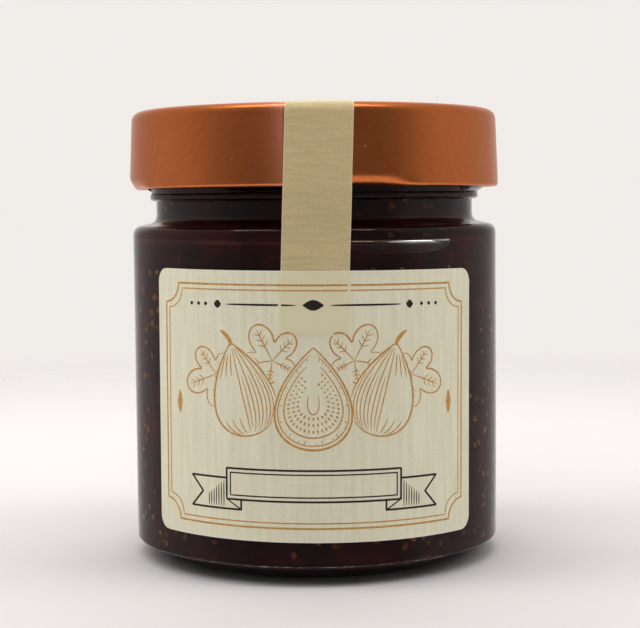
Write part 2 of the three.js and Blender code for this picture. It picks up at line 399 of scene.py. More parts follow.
def bump(tree: Tree, height: Socket, depth_mm: float) -> Socket:
    """Gives the surface's direction where a value raises it."""
    return add_node(tree, "ShaderNodeBump", {"Height": height, "Distance": depth_mm * MM}).outputs[0]


@dataclass(frozen=True)
class Finish(ABC):
    """A finish, which makes one material."""

    name: ClassVar[str]

    def material(self) -> bpy.types.Material:
        """Makes the material and dresses its shader."""
        made = bpy.data.materials.new(self.name)
        made.use_nodes = True
        tree = made.node_tree
        feed(tree, tree.nodes["Principled BSDF"], self.dress(tree))
        return made

    @abstractmethod
    def dress(self, tree: Tree) -> dict[str, Any]:
        """Adds the finish's nodes.

        Args:
            tree: The material's node tree.

        Returns:
            A value or a socket for each of the shader's inputs.
        """


@dataclass(frozen=True)
class PressedFlintGlass(Finish):
    """Flint glass pressed and blown in a mould.

    Fire-polished, so it is clear and glossy, with a breath of green where it is thick.
    """

    name: ClassVar[str] = "pressed_flint_glass"
    colour: str = "F7FBF8"
    ior: float = 1.52
    roughness: float = 0.015
    transmission: float = 1.0

    def dress(self, tree: Tree) -> dict[str, Any]:
        """Sets a clear, colourless glass."""
        inputs = {"Base Color": linear(self.colour), "Roughness": self.roughness}
        return {**inputs, "IOR": self.ior, "Transmission Weight": self.transmission}


@dataclass(frozen=True)
class MouldSeamPaintedHighlightGlass(Finish):
    """The flash that the joint of a mould leaves on glass: rough, and pale as a painted highlight along the
    heel's edge.
    """

    name: ClassVar[str] = "mould_seam_painted_highlight_glass"
    # painted highlight: this pale grey stands in for the bright line of light that the seam catches
    colour: str = "C9CDC6"
    clear: str = "6E746C"
    grain_mm: float = 0.8
    ior: float = 1.52
    roughness: float = 0.45
    transmission: float = 0.35

    def dress(self, tree: Tree) -> dict[str, Any]:
        """Breaks the pale rough glass of the painted highlight with clearer stretches."""
        grain = noise(tree, object_place(tree), self.grain_mm * MM)
        inputs = {"Base Color": tint(tree, grain, self.colour, self.clear), "Roughness": self.roughness}
        return {**inputs, "IOR": self.ior, "Transmission Weight": self.transmission}


@dataclass(frozen=True)
class CookedFigJam(Finish):
    """Black figs cooked down with sugar.

    Nearly opaque and very dark, with dull red where soft pieces of fruit lie near the surface.
    """

    name: ClassVar[str] = "cooked_fig_jam"
    syrup: str = "471110"
    pulp: str = "6A1714"
    fruit: str = "7E2016"
    pulp_mm: float = 7.0
    pulp_detail: float = 5.0
    pulp_spread: Point = (0.4, 0.75)
    fruit_mm: float = 3.2
    fruit_detail: float = 3.0
    fruit_spread: Point = (0.62, 0.78)
    roughness: float = 0.3
    scatter_mm: float = 4.0
    scatter_radius: Triple = (1.0, 0.3, 0.25)  # red light goes furthest into the jam
    scatter_ahead: float = 0.8
    specular: float = 0.12  # the glass has nearly the jam's own index, so little light comes back from there

    def dress(self, tree: Tree) -> dict[str, Any]:
        """Mixes dark syrup with pulp and small pieces of fruit."""
        place = object_place(tree)
        cloud = ramp(tree, noise(tree, place, self.pulp_mm * MM, self.pulp_detail), self.pulp_spread)
        flakes = ramp(tree, noise(tree, place, self.fruit_mm * MM, self.fruit_detail), self.fruit_spread)
        base = tint(tree, cloud, self.syrup, self.pulp)
        inputs = {"Base Color": tint(tree, flakes, base, self.fruit), "Roughness": self.roughness}
        inputs |= {"Subsurface Weight": 1.0, "Subsurface Scale": self.scatter_mm * MM}
        inputs |= {"Subsurface Radius": self.scatter_radius, "Subsurface Anisotropy": self.scatter_ahead}
        return {**inputs, "Specular IOR Level": self.specular}


@dataclass(frozen=True)
class FigSeedCoat(Finish):
    """The hard coats of fig seeds, amber where they touch the glass and dim red where jam covers them."""

    name: ClassVar[str] = "fig_seed_coat"
    deep: str = "7C3620"
    near: str = "B37342"
    mottle_mm: float = 0.5
    mottle_share: float = 0.25
    roughness: float = 0.45
    specular: float = 0.15

    def dress(self, tree: Tree) -> dict[str, Any]:
        """Tints each seed by its tone, with a fine mottle."""
        mottle = noise(tree, object_place(tree), self.mottle_mm * MM)
        shift = ramp(tree, mottle, shares=(-self.mottle_share, self.mottle_share))
        share = calculate(tree, "ADD", attribute(tree, TONE), shift, clamp=True)
        inputs = {"Base Color": tint(tree, share, self.deep, self.near), "Roughness": self.roughness}
        return {**inputs, "Specular IOR Level": self.specular}


@dataclass(frozen=True)
class BrushedCopperLacquer(Finish):
    """Steel sheet brushed in one direction, lacquered copper and then drawn into a cap.

    Satin, with the straight brush marks of the flat sheet running at a slant down the skirt.
    """

    name: ClassVar[str] = "brushed_copper_lacquer"
    light: str = "F89A5B"
    dark: str = "E4884B"
    brush_mm: Point = (5.0, 0.35)  # length and spacing, where real marks are 0.1 mm apart: drawn coarser
    brush_detail: float = 4.0
    mark_depth_mm: float = 0.004
    cloud_mm: float = 14.0
    cloud_share: float = 0.35
    spread: Point = (0.3, 0.7)
    roughness: Point = (0.32, 0.38)
    coat: float = 0.35
    coat_roughness: float = 0.2
    glue: str = "F9AB92"  # painted sheen beside the seal: a pale colour that stands in for a reflection
    painted_sheen_metallic: float = 0.55
    speck: str = "F6E8D8"  # dust
    speck_mm: float = 0.13
    speck_spacing_mm: float = 13.0

    def dress(self, tree: Tree) -> dict[str, Any]:
        """Lays brush marks, soft clouds, a painted sheen beside the seal and specks of dust over a
        copper-coloured metal.
        """
        sheet = attribute(tree, TAG, "Vector")
        brush = noise(tree, stretched(tree, sheet, self.brush_mm), 1.0, self.brush_detail)
        marks = blend(tree, self.cloud_share, brush, noise(tree, sheet, self.cloud_mm))
        metal = tint(tree, ramp(tree, marks, self.spread), self.dark, self.light)
        # painted sheen: paler and less metallic beside the seal, standing in for a reflection
        painted_sheen = attribute(tree, TONE)
        dots = {0: sheet, "Scale": 1 / self.speck_spacing_mm}
        away = add_node(tree, "ShaderNodeTexVoronoi", dots, voronoi_dimensions="2D").outputs["Distance"]
        size = self.speck_mm / self.speck_spacing_mm
        dust = ramp(tree, away, (size / 2, size), (1.0, 0.0))
        dull = ramp(tree, painted_sheen, shares=(1.0, self.painted_sheen_metallic))
        inputs = {"Base Color": tint(tree, dust, tint(tree, painted_sheen, metal, self.glue), self.speck)}
        inputs |= {"Metallic": calculate(tree, "SUBTRACT", dull, dust, clamp=True)}
        inputs |= {"Roughness": ramp(tree, marks, self.spread, self.roughness)}
        inputs |= {"Normal": bump(tree, brush, self.mark_depth_mm)}
        return {**inputs, "Coat Weight": self.coat, "Coat Roughness": self.coat_roughness}


@dataclass(frozen=True)
class LaidPaper(Finish):
    """Laid paper, with the close parallel lines of the mould that it was drained on.

    Matte and fibrous, a little uneven in tone, with paler fibres along its cut edges.
    """

    name: ClassVar[str] = "laid_paper"
    base: str = "EDEBD8"
    shade: str = "E3DEC6"
    fibre: str = "F2EFE0"
    over: str = "E7E0C3"  # where other paper lies under it
    line_mm: Point = (1.1, 14.0)  # spacing and length of the laid lines, across and along the sheet
    line_detail: float = 3.0
    grain_mm: float = 0.45
    grain_detail: float = 4.0
    grain_share: float = 0.45
    spread: Point = (0.35, 0.65)
    edge_mm: float = 0.22
    relief_mm: float = 0.02
    roughness: float = 0.82
    specular: float = 0.25

    def dress(self, tree: Tree) -> dict[str, Any]:
        """Lays lines, grain and pale edges over the paper's colour."""
        sheet = attribute(tree, TAG, "Vector")
        lines = noise(tree, stretched(tree, sheet, self.line_mm), 1.0, self.line_detail)
        grain = noise(tree, stretched(tree, sheet, (1.0, 1.0)), self.grain_mm, self.grain_detail)
        texture = blend(tree, self.grain_share, lines, grain)
        paper = tint(tree, ramp(tree, texture, self.spread), self.shade, self.base)
        warmer = tint(tree, attribute(tree, TONE), paper, self.over)
        gap = add_node(tree, "ShaderNodeSeparateXYZ", {0: sheet}).outputs["Z"]
        edge = ramp(tree, gap, (0.0, self.edge_mm), (1.0, 0.0))
        inputs = {"Base Color": tint(tree, edge, warmer, self.fibre), "Roughness": self.roughness}
        return {**inputs, "Normal": bump(tree, texture, self.relief_mm), "Specular IOR Level": self.specular}


@dataclass(frozen=True)
class LabelPaper(LaidPaper):
    """The cream laid paper of the label, with its lines upright."""

    name: ClassVar[str] = "cream_laid_label_paper"


@dataclass(frozen=True)
class SealPaper(LaidPaper):
    """The tan laid paper of the seal, with its lines across the strip."""

    name: ClassVar[str] = "tan_laid_seal_paper"
    base: str = "DBCBA2"
    shade: str = "CBBB97"
    fibre: str = "EBE2C8"
    line_mm: Point = (8.0, 0.8)
    grain_mm: float = 0.5
    grain_share: float = 0.5


@dataclass(frozen=True)
class PrintingInk(Finish):
    """Offset printing ink: a matte film, a little broken by the paper's grain."""

    name: ClassVar[str] = "printing_ink"
    colour: str = "C99A55"
    worn: str = "D9B77C"
    grain_mm: float = 0.5
    grain_detail: float = 3.0
    spread: Point = (0.45, 0.7)
    roughness: float = 0.6

    def dress(self, tree: Tree) -> dict[str, Any]:
        """Breaks the ink's colour with the paper's grain."""
        grain = noise(tree, object_place(tree), self.grain_mm * MM, self.grain_detail)
        colour = tint(tree, ramp(tree, grain, self.spread), self.colour, self.worn)
        return {"Base Color": colour, "Roughness": self.roughness}


@dataclass(frozen=True)
class OchreInk(PrintingInk):
    """The ochre ink of the drawing."""

    name: ClassVar[str] = "ochre_printing_ink"


@dataclass(frozen=True)
class DarkInk(PrintingInk):
    """The brown-black ink of the ornaments."""

    name: ClassVar[str] = "brown_black_printing_ink"
    colour: str = "332B28"
    worn: str = "4A403A"


@dataclass(frozen=True)
class SealingCompound(Finish):
    """Foamed vinyl compound, run into the lid as a paste and baked: dull, off-white and faintly pitted."""

    name: ClassVar[str] = "foamed_sealing_compound"
    colour: str = "E3DFD3"
    pit: str = "CFC9BA"
    pit_mm: float = 0.4
    pit_depth_mm: float = 0.05
    roughness: float = 0.6

    def dress(self, tree: Tree) -> dict[str, Any]:
        """Pits the ring's surface finely."""
        pits = noise(tree, object_place(tree), self.pit_mm * MM)
        inputs = {"Base Color": tint(tree, pits, self.colour, self.pit), "Roughness": self.roughness}
        return {**inputs, "Normal": bump(tree, pits, self.pit_depth_mm)}


@dataclass(frozen=True)
class BackdropPaper(Finish):
    """Matte white backdrop paper, whose far parts fade out into the light round it."""

    name: ClassVar[str] = "matte_backdrop_paper"
    colour: str = "D4D1D1"
    roughness: float = 0.95
    specular: float = 0.0
    fade: Point = (0.2, 0.52)  # distances from the jar in metres

    def dress(self, tree: Tree) -> dict[str, Any]:
        """Sets a plain pale matte surface with a soft far edge."""
        place = object_place(tree)
        away = add_node(tree, "ShaderNodeVectorMath", {0: place}, operation="LENGTH").outputs["Value"]
        cover = ramp(tree, away, self.fade, (1.0, 0.0), interpolation_type="SMOOTHSTEP")
        inputs = {"Base Color": linear(self.colour), "Roughness": self.roughness}
        return {**inputs, "Alpha": cover, "Specular IOR Level": self.specular}


def settle(piece: Piece, body: Body, slot: Slot, finish: Finish, *nodes: str) -> Piece:
    """Dresses a piece, puts it on its body and hides the CAD nodes that it replaces.

    Args:
        piece: Finished mesh object.
        body: Body that it rides on.
        slot: The slot that its finish belongs to; not used.
        finish: Its finish.
        nodes: CAD nodes that it replaces.

    Returns:
        The piece.
    """
    piece.data.materials.append(finish.material())
    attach(piece, body.value)
    if nodes:
        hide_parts(*nodes)
    log.info("%s: %d faces, rides on %s", piece.name, len(piece.data.polygons), body.value)
    return piece


@dataclass(frozen=True)
class MouldSeam:
    """One ragged line of flash where the parts of the glass mould met."""

    inset: float = 0.1  # from the jar's side
    rise: float = 0.12  # above the heel's edge
    thin: float = 0.02
    thick: float = 0.15
    rarity: int = 3  # the higher, the fewer thick places
    draw: int = 5
    corner: float = 60.0  # degrees between the corners of its section

    def thicknesses(self, count: int) -> list[float]:
        """Draws how thick the line is at each of a number of places round the jar."""
        draw = random.Random(self.draw)
        return [self.thin + (self.thick - self.thin) * draw.random() ** self.rarity for _ in range(count)]


@dataclass
class GlassJar:
    """The glass jar, with its foot, mould seam, shoulder, neck, bead and threads."""

    body_radius: float = box_mm("glass_jar")[1].x
    rim_height: float = box_mm("glass_jar")[1].z
    heel_height: float = 4.2  # the wall ends here, and the base slopes in under it to the foot
    heel_round: float = 0.8
    foot_outer: float = 32.5
    foot_inner: float = 27.0
    punt_rise: float = 1.0
    punt_flat: float = 16.0
    seam: MouldSeam = MouldSeam()
    shoulder_height: float = 75.9
    shoulder_corner: float = 2.2
    shoulder_rise: float = 0.4
    neck_radius: float = 36.57
    neck_fillet: float = 1.9
    bead_radius: float = 37.95
    bead_bottom: float = 81.4
    bead_top: float = 83.0
    bead_ease: float = 0.15
    finish_radius: float = 37.7
    rim_round: float = 0.9
    wall: float = 2.7
    shoulder_wall: float = 2.1
    base_thickness: float = 2.6
    inner_heel: float = 2.5
    mouth_radius: float = 33.9
    starts: int = 4
    lead: float = 12.0
    thread_radius: float = 39.5
    thread_half: float = 1.1
    thread_angle: float = 12.0  # angle of the closed lugs
    thread_under: float = 87.23  # underside of a thread at that angle
    thread_before: float = 42.0
    thread_after: float = 20.0
    thread_foot: float = 0.1
    thread_crest: float = 0.2
    thread_ends: Point = (1.5, 4.0)  # degrees over which a thread rises at its start and falls at its end
    stop_span: float = 24.0
    stop_bottom: float = 82.9
    stop_bevel: float = 1.5
    knurls: int = 72
    knurl_depth: float = 0.12
    knurl_margins: Point = (1.0, 0.5)
    wave: float = 0.03  # unevenness of the blown wall
    waves: tuple[Triple, Triple] = ((3, 17, 0), (7, -11, 1))
    columns: int = 360
    thread_row: float = 0.3
    foot_row: float = 0.8
    slope_row: float = 1.0
    wall_row: float = 3.0
    punt_steps: int = 12
    heel_steps: int = 8
    bead_steps: tuple[int, int] = (8, 6)
    shoulder_steps: int = 14

    @property
    def floor_height(self) -> float:
        """Gives the height of the inside's floor."""
        return self.base_thickness + self.punt_rise

    @property
    def neck_start(self) -> float:
        """Gives the height where the neck's straight wall starts."""
        return self.shoulder_height + self.shoulder_rise + self.neck_fillet

    def cavity(self, grow: float, wall_top_row: float) -> list[Point]:
        """Draws the inside of the jar, from the middle of its floor up to the neck.

        Args:
            grow: Distance that the outline is moved into the glass.
            wall_top_row: Spacing of the points in the last stretch of wall under the shoulder.

        Returns:
            Radius and height of each point.
        """
        radius = self.body_radius - self.wall + grow
        mouth = self.mouth_radius + grow
        low = self.floor_height - grow
        shoulder = self.shoulder_height - self.shoulder_wall + grow
        wall_top = shoulder - self.neck_fillet
        heel = (radius - self.inner_heel, low + self.inner_heel)
        fine_from = wall_top - self.inner_heel
        ends = [(radius, wall_top), (mouth, self.neck_start)]
        return [
            (0, low),
            *straight((self.wall_row, low), (heel[0], low), self.wall_row)[:-1],
            *arc(heel, self.inner_heel, -90, 0),
            *straight((radius, heel[1]), (radius, fine_from), self.wall_row)[1:],
            *straight((radius, fine_from), (radius, wall_top), wall_top_row)[1:-1],
            *bezier(ends, [(radius, shoulder), (mouth, shoulder)], self.shoulder_steps),
        ]

    def outside(self) -> list[Point]:
        """Draws the outside of the jar, from the middle of its base up to the rim."""
        slope = Vector((self.body_radius - self.foot_outer, self.heel_height))
        slope *= 1 - self.heel_round / slope.length
        heel = [(self.foot_outer + slope.x, slope.y), (self.body_radius, self.heel_height + self.heel_round)]
        edge = (self.body_radius, self.heel_height)
        corner = (self.body_radius - self.shoulder_corner, self.shoulder_height - self.shoulder_corner)
        fillet = (self.neck_radius + self.neck_fillet, self.neck_start)
        bead = (self.bead_radius, (self.bead_bottom + self.bead_top) / 2)
        bead_low = (self.neck_radius, self.bead_bottom - self.bead_ease)
        bead_high = (self.finish_radius, self.bead_top)
        low_pulls = [(self.neck_radius, self.bead_bottom), (self.bead_radius, self.bead_bottom)]
        high_pulls = [(self.bead_radius, self.bead_top), bead_high]
        finish_top = self.rim_height - self.rim_round
        rim = (self.finish_radius - self.rim_round, finish_top)
        punt_pulls = [(self.punt_flat, self.punt_rise), (self.punt_flat, self.punt_rise)]
        return [
            (0, self.punt_rise),
            *bezier([(0, self.punt_rise), (self.foot_inner, 0)], punt_pulls, self.punt_steps)[1:],
            *straight((self.foot_inner, 0), (self.foot_outer, 0), self.foot_row)[1:-1],
            *straight((self.foot_outer, 0), heel[0], self.slope_row),
            *bezier(heel, [edge, edge], self.heel_steps)[1:],
            *straight(heel[1], (self.body_radius, corner[1]), self.wall_row)[1:-1],
            *arc(corner, self.shoulder_corner, 0, 90),
            *arc(fillet, self.neck_fillet, -90, -180),
            *bezier([bead_low, bead], low_pulls, self.bead_steps[0]),
            *bezier([bead, bead_high], high_pulls, self.bead_steps[1])[1:],
            *straight(bead_high, (self.finish_radius, finish_top), self.thread_row)[1:-1],
            *arc(rim, self.rim_round, 0, 90),
        ]

    def thread_rise(self, angle: float, height: float) -> float:
        """Gives how far a thread stands out of the neck at a place, from 0 to 1."""
        spacing = 360 / self.starts
        best = 0.0
        start_ramp, end_ramp = self.thread_ends
        turn = (angle - self.thread_angle + self.thread_before) % spacing - self.thread_before
        for along in (turn, turn + spacing, turn - spacing):
            if not -self.thread_before <= along <= self.thread_after:
                continue
            middle = self.thread_under + self.thread_half + self.lead * along / 360
            on_stop = along < self.stop_span - self.thread_before
            low = self.stop_bottom if on_stop else middle - self.thread_half
            bevel = self.stop_bevel if on_stop else self.thread_half / 2
            lift = smooth(low - self.thread_foot, low + bevel, height)
            lift *= smooth(middle + self.thread_half, middle + self.thread_crest, height)
            ends = smooth(self.thread_after, self.thread_after - end_ramp, along)
            starts = smooth(-self.thread_before, start_ramp - self.thread_before, along)
            best = max(best, lift * ends * starts)
        return best

    def bend(self, angle: float, radius: float, height: float) -> Point:
        """Adds the threads, the knurled foot and the wall's unevenness."""
        if height > self.stop_bottom and radius > self.finish_radius - self.rim_round / 2:
            rise = (self.thread_radius - self.finish_radius) * self.thread_rise(angle, height)
            return radius + rise, height
        inner, outer = self.knurl_margins
        if height == 0 and self.foot_inner + inner < radius < self.foot_outer - outer:
            ridge = math.sin(math.radians(angle * self.knurls)) > 0
            return radius, 0.0 if ridge else self.knurl_depth
        turn = math.radians(angle)
        if radius >= self.body_radius and height > self.heel_height:
            swell = sum(ripple(turn, height, wave) for wave in self.waves)
            return radius + self.wave * swell / len(self.waves), height
        return radius, height

    def build(self) -> Piece:
        """Builds the jar and dresses it in glass."""
        rim = (self.mouth_radius + self.rim_round, self.rim_height - self.rim_round)
        inside = self.cavity(0, self.wall_row)
        neck = straight(inside[-1], (self.mouth_radius, rim[1]), self.wall_row)[1:-1]
        profile = [*self.outside(), *arc(rim, self.rim_round, 90, 180), *reversed(neck), *reversed(inside)]
        draft = MeshDraft()
        draft.add_lathe(profile, self.columns, self.bend)
        piece = draft.to_object("glass_jar_fine")
        return settle(piece, Body.JAR, Slot.GLASS, PressedFlintGlass(), "glass_jar")

    def build_seam(self) -> Piece:
        """Builds the ragged line of rough glass that the joint of the mould leaves round the heel, pale as a
        painted highlight.
        """
        seam = self.seam
        marks = seam.thicknesses(self.columns)
        centre = (self.body_radius - seam.inset, self.heel_height + seam.rise)

        def bend(angle: float, radius: float, height: float) -> Point:
            size = marks[round(angle * self.columns / 360) % self.columns]
            return centre[0] + (radius - centre[0]) * size, centre[1] + (height - centre[1]) * size

        draft = MeshDraft()
        section = arc(centre, 1.0, 0, 360 - seam.corner, seam.corner)
        draft.add_lathe(section, self.columns, bend, closed=True)
        return settle(draft.to_object("mould_seam"), Body.JAR, Slot.GLASS, MouldSeamPaintedHighlightGlass())


@dataclass(frozen=True)
class AirPocket:
    """Air left between the jam and the glass under the shoulder."""

    middle: float
    half_span: float
    drop: float  # height of the pocket below the shoulder's curve
    edge: float = 0.94  # share of the half span where the pocket starts to close
    ease: float = 0.3
    top_ease: float = 0.5
    squareness: int = 4

    def depth(self, angle: float, height: float, top: float, bottom: float) -> float:
        """Gives how deep the pocket is at a place, from 0 to 1.

        Args:
            angle: Angle about the axis.
            height: Height of the place.
            top: Height where the pocket ends in the shoulder.
            bottom: Height where the shoulder's curve starts.

        Returns:
            A share of the full depth.
        """
        off = abs((angle - self.middle + 180) % 360 - 180) / self.half_span
        low = bottom - self.drop * (1 - min(1.0, off) ** self.squareness)
        closing = smooth(1.0, self.edge, off) * smooth(low - self.ease, low + self.ease, height)
        return closing * smooth(top, top - self.top_ease, height)


@dataclass
class JamFill:
    """The jam, pressed against the glass, and the seeds that show in it."""

    jar: GlassJar
    top_height: float = box_mm("fig_jam")[1].z
    overlap: float = 0.12  # the jam reaches this far into the glass, so that no air shows between them
    pocket_depth: float = 1.1
    pocket_top: float = 75.7
    meniscus: float = 0.8
    lumps: float = 0.5
    lump_margin: float = 0.5
    lump_waves: tuple[Triple, Triple] = ((2, 5, 0), (3, -7, 1))
    columns: int = 360
    fine_row: float = 0.3
    pockets: tuple[AirPocket, ...] = (
        AirPocket(28, 18, 1.6),
        AirPocket(104, 13, 0.9),
        AirPocket(171, 22, 1.3),
        AirPocket(246, 9, 0.5),
    )
    seed_count: int = 780
    seed_draw: int = 11
    seed_length: Point = (1.5, 2.4)
    seed_width: Point = (0.65, 0.85)  # share of the length
    seed_thick: float = 0.6  # share of the width
    seed_sunk: Point = (0.16, 0.1)  # share of the thickness for the deepest, and what the nearest has less
    seed_drop: Triple = (0.75, 1.1, 0.5)  # roundness of the ends, swell at the thick end and how it falls
    seed_low: float = 1.6  # above the floor
    seed_high: float = 67.0
    neck_seeds: float = 0.1  # share of the seeds
    neck_margins: Point = (1.0, 2.0)
    seed_rings: int = 7
    seed_sides: int = 8

    def bend(self, angle: float, radius: float, height: float) -> Point:
        """Hollows out the air pockets and ruffles the top."""
        bottom = self.jar.shoulder_height - self.jar.shoulder_wall - self.jar.neck_fillet
        depth = max(p.depth(angle, height, self.pocket_top, bottom) for p in self.pockets)
        if depth > 0:
            return radius - self.pocket_depth * depth, height - self.pocket_depth * depth / 2
        if height >= self.top_height - self.meniscus and radius < self.jar.mouth_radius - self.lump_margin:
            ruffle = math.prod(ripple(math.radians(angle), radius, wave) for wave in self.lump_waves)
            return radius, height + self.lumps * ruffle * radius / self.jar.mouth_radius
        return radius, height

    def build(self) -> Piece:
        """Builds the jam and dresses it."""
        neck = self.jar.mouth_radius + self.overlap
        level = self.top_height - self.meniscus
        side = self.jar.cavity(self.overlap, self.fine_row)
        curve = arc((neck - self.meniscus, self.top_height), self.meniscus, 0, -90)
        profile = [
            *side,
            *straight(side[-1], (neck, self.top_height), self.jar.wall_row)[1:-1],
            *curve,
            *straight((neck - self.meniscus, level), (self.jar.wall_row, level), self.jar.wall_row)[1:],
            (0, level),
        ]
        draft = MeshDraft()
        draft.add_lathe(profile, self.columns, self.bend)
        return settle(draft.to_object("fig_jam_fill"), Body.JAR, Slot.JAM, CookedFigJam(), "fig_jam")

    def seed_place(self, draw: random.Random) -> tuple[float, float, float]:
        """Draws the angle, height and radius of one seed on the jam's side."""
        low, high = self.jar.floor_height + self.seed_low, self.seed_high
        radius = self.jar.body_radius - self.jar.wall
        if draw.random() < self.neck_seeds:
            low, high = self.jar.neck_start + self.neck_margins[0], self.top_height - self.neck_margins[1]
            radius = self.jar.mouth_radius
        return draw.uniform(0, 360), draw.uniform(low, high), radius + self.overlap

    def add_seed(self, draft: MeshDraft, draw: random.Random) -> None:
        """Adds one flat teardrop seed that lies in the jam's side.

        Args:
            draft: Mesh that gathers the seeds.
            draw: Source of its place, size, turn and tone.
        """
        angle, height, radius = self.seed_place(draw)
        length = draw.uniform(*self.seed_length)
        width = length * draw.uniform(*self.seed_width)
        thick = width * self.seed_thick
        spin = draw.uniform(0, math.tau)
        tone = draw.random()
        sunk = radius - thick * (self.seed_sunk[0] - self.seed_sunk[1] * tone)
        ends, fat, fall = self.seed_drop
        out = polar(1, angle, 0)
        side = polar(1, angle + 90, 0)
        along = side * math.cos(spin) + Vector((0, 0, math.sin(spin)))
        across = along.cross(out)
        centre = polar(sunk, angle, height)
        rows = []
        for ring in range(self.seed_rings + 1):
            share = ring / self.seed_rings
            swell = math.sin(math.pi * share) ** ends * (fat - fall * share) / 2
            middle = centre + along * length * (share - 0.5)
            if ring in (0, self.seed_rings):
                rows.append(draft.add_points([middle]))
                continue
            turns = [math.tau * i / self.seed_sides for i in range(self.seed_sides)]
            wide, deep = across * width * swell, out * thick * swell
            rows.append(draft.add_points([middle + wide * math.cos(t) + deep * math.sin(t) for t in turns]))
        draft.join_rows(rows, around=True, closed=False)
        draft.tones.update({n: tone for row in rows for n in row})

    def build_seeds(self) -> Piece:
        """Builds all the seeds as one piece."""
        draw = random.Random(self.seed_draw)
        draft = MeshDraft()
        for _ in range(self.seed_count):
            self.add_seed(draft, draw)
        return settle(draft.to_object("fig_seeds"), Body.JAR, Slot.JAM, FigSeedCoat())


@dataclass
class TwistOffLid:
    """The deep lid of brushed sheet, with a rolled edge, four pressed lugs and a sunken panel."""

    top: float = box_mm("lid")[1].z
    bottom: float = box_mm("lid")[0].z
    bottom_radius: float = box_mm("lid")[1].x
    top_radius: float = 41.95
    corner: float = 2.2
    sheet: float = 0.3
    panel_radius: float = 33.0
    panel_drop: float = 0.6
    panel_slope: float = 1.2
    curl: float = 0.9
    lugs: int = 4
    lug_angle: float = 12.0
    lug_half: float = 6.0
    lug_ramp: float = 15.0
    lug_press: float = 2.0
    lug_height: float = 2.9
    painted_sheen_edge: float = -6.2  # right of the front: the painted sheen starts here and fades leftwards
    painted_sheen_fade: float = 2.8
    painted_sheen_low: float = 0.6  # share of the painted sheen that is left at the lid's edge
    columns: int = 360
    step_row: float = 0.2
    panel_row: float = 3.0
    inner_row: float = 1.2
    outer_row: float = 0.6
    curl_start: float = 100.0

    @property
    def corner_height(self) -> float:
        """Gives the height where the skirt ends and the round corner starts."""
        return self.top - self.corner

    @property
    def corner_radius(self) -> float:
        """Gives the radius where the corner ends and the flat top starts."""
        return self.top_radius - self.corner

    def skirt_radius(self, height: float) -> float:
        """Gives the outside radius of the skirt at a height, flaring a little down to the curl."""
        curl_height = self.bottom + self.curl
        share = (self.corner_height - height) / (self.corner_height - curl_height)
        return self.top_radius + (self.bottom_radius - self.top_radius) * share

    def top_height(self, radius: float) -> float:
        """Gives the height of the top at a radius, with the step down to the panel."""
        edge = self.panel_radius + self.panel_slope
        return self.top - self.panel_drop * smooth(edge, self.panel_radius, radius)

    def bend(self, angle: float, radius: float, height: float) -> Point:
        """Presses the lugs into the rolled edge."""
        spacing = 360 / self.lugs
        off = abs((angle - self.lug_angle + spacing / 2) % spacing - spacing / 2)
        press = smooth(self.lug_half + self.lug_ramp, self.lug_half, off)
        depth = min(1.0, max(0.0, (self.bottom + self.lug_height - height) / self.lug_height))
        return radius - self.lug_press * press * depth**2, height

    def blank(self, point: Vector) -> Vector:
        """Gives where a point lay on the flat sheet that the lid was drawn from."""
        radius = math.hypot(point.x, point.y)
        flat = radius + max(0.0, self.top - point.z)
        return Vector((point.x, point.y, 0)) * flat / max(radius, MM)

    def painted_sheen(self, point: Vector) -> float:
        """Gives how strong the painted sheen beside the seal is at a place, from 0 to 1, stronger towards the
        top.
        """
        side = math.atan2(point.x, -point.y) * self.top_radius
        rise = smooth(self.bottom, self.corner_height, point.z)
        most = self.painted_sheen_low + (1 - self.painted_sheen_low) * rise
        return most * math.exp((side - self.painted_sheen_edge) / self.painted_sheen_fade) if side < self.painted_sheen_edge else 0.0

    def profile(self) -> list[Point]:
        """Draws the sheet's closed outline: under the top, down inside, round the curl and up outside."""
        curl = (self.bottom_radius - self.curl, self.bottom + self.curl)
        corner = (self.corner_radius, self.corner_height)
        inner_foot = (self.skirt_radius(curl[1] + self.curl) - self.sheet, curl[1] + self.curl)
        step = between(self.panel_radius, self.panel_radius + self.panel_slope, self.step_row)
        flat = between(self.panel_radius, 0, self.panel_row)
        outer_foot, outer_top = (self.bottom_radius, curl[1]), (self.top_radius, self.corner_height)
        return [
            *[(r, self.top_height(r) - self.sheet) for r in reversed(flat)],
            *[(r, self.top_height(r) - self.sheet) for r in step[1:]],
            *arc(corner, self.corner - self.sheet, 90, 0),
            *straight((self.top_radius - self.sheet, self.corner_height), inner_foot, self.inner_row)[1:],
            *arc(curl, self.curl, self.curl_start, 360),
            *straight(outer_foot, outer_top, self.outer_row)[1:-1],
            *arc(corner, self.corner, 0, 90),
            *[(r, self.top_height(r)) for r in reversed(step)],
            *[(r, self.top_height(r)) for r in flat[1:]],
        ]

    def build(self) -> Piece:
        """Builds the lid and dresses it in brushed copper lacquer."""
        draft = MeshDraft()
        draft.add_lathe(self.profile(), self.columns, self.bend)
        draft.tags = {n: self.blank(v) for n, v in enumerate(draft.vertices)}
        # the tone carries the painted sheen beside the seal
        draft.tones = {n: self.painted_sheen(v) for n, v in enumerate(draft.vertices)}
        return settle(draft.to_object("twist_off_lid"), Body.LID, Slot.LACQUER, BrushedCopperLacquer(), "lid")


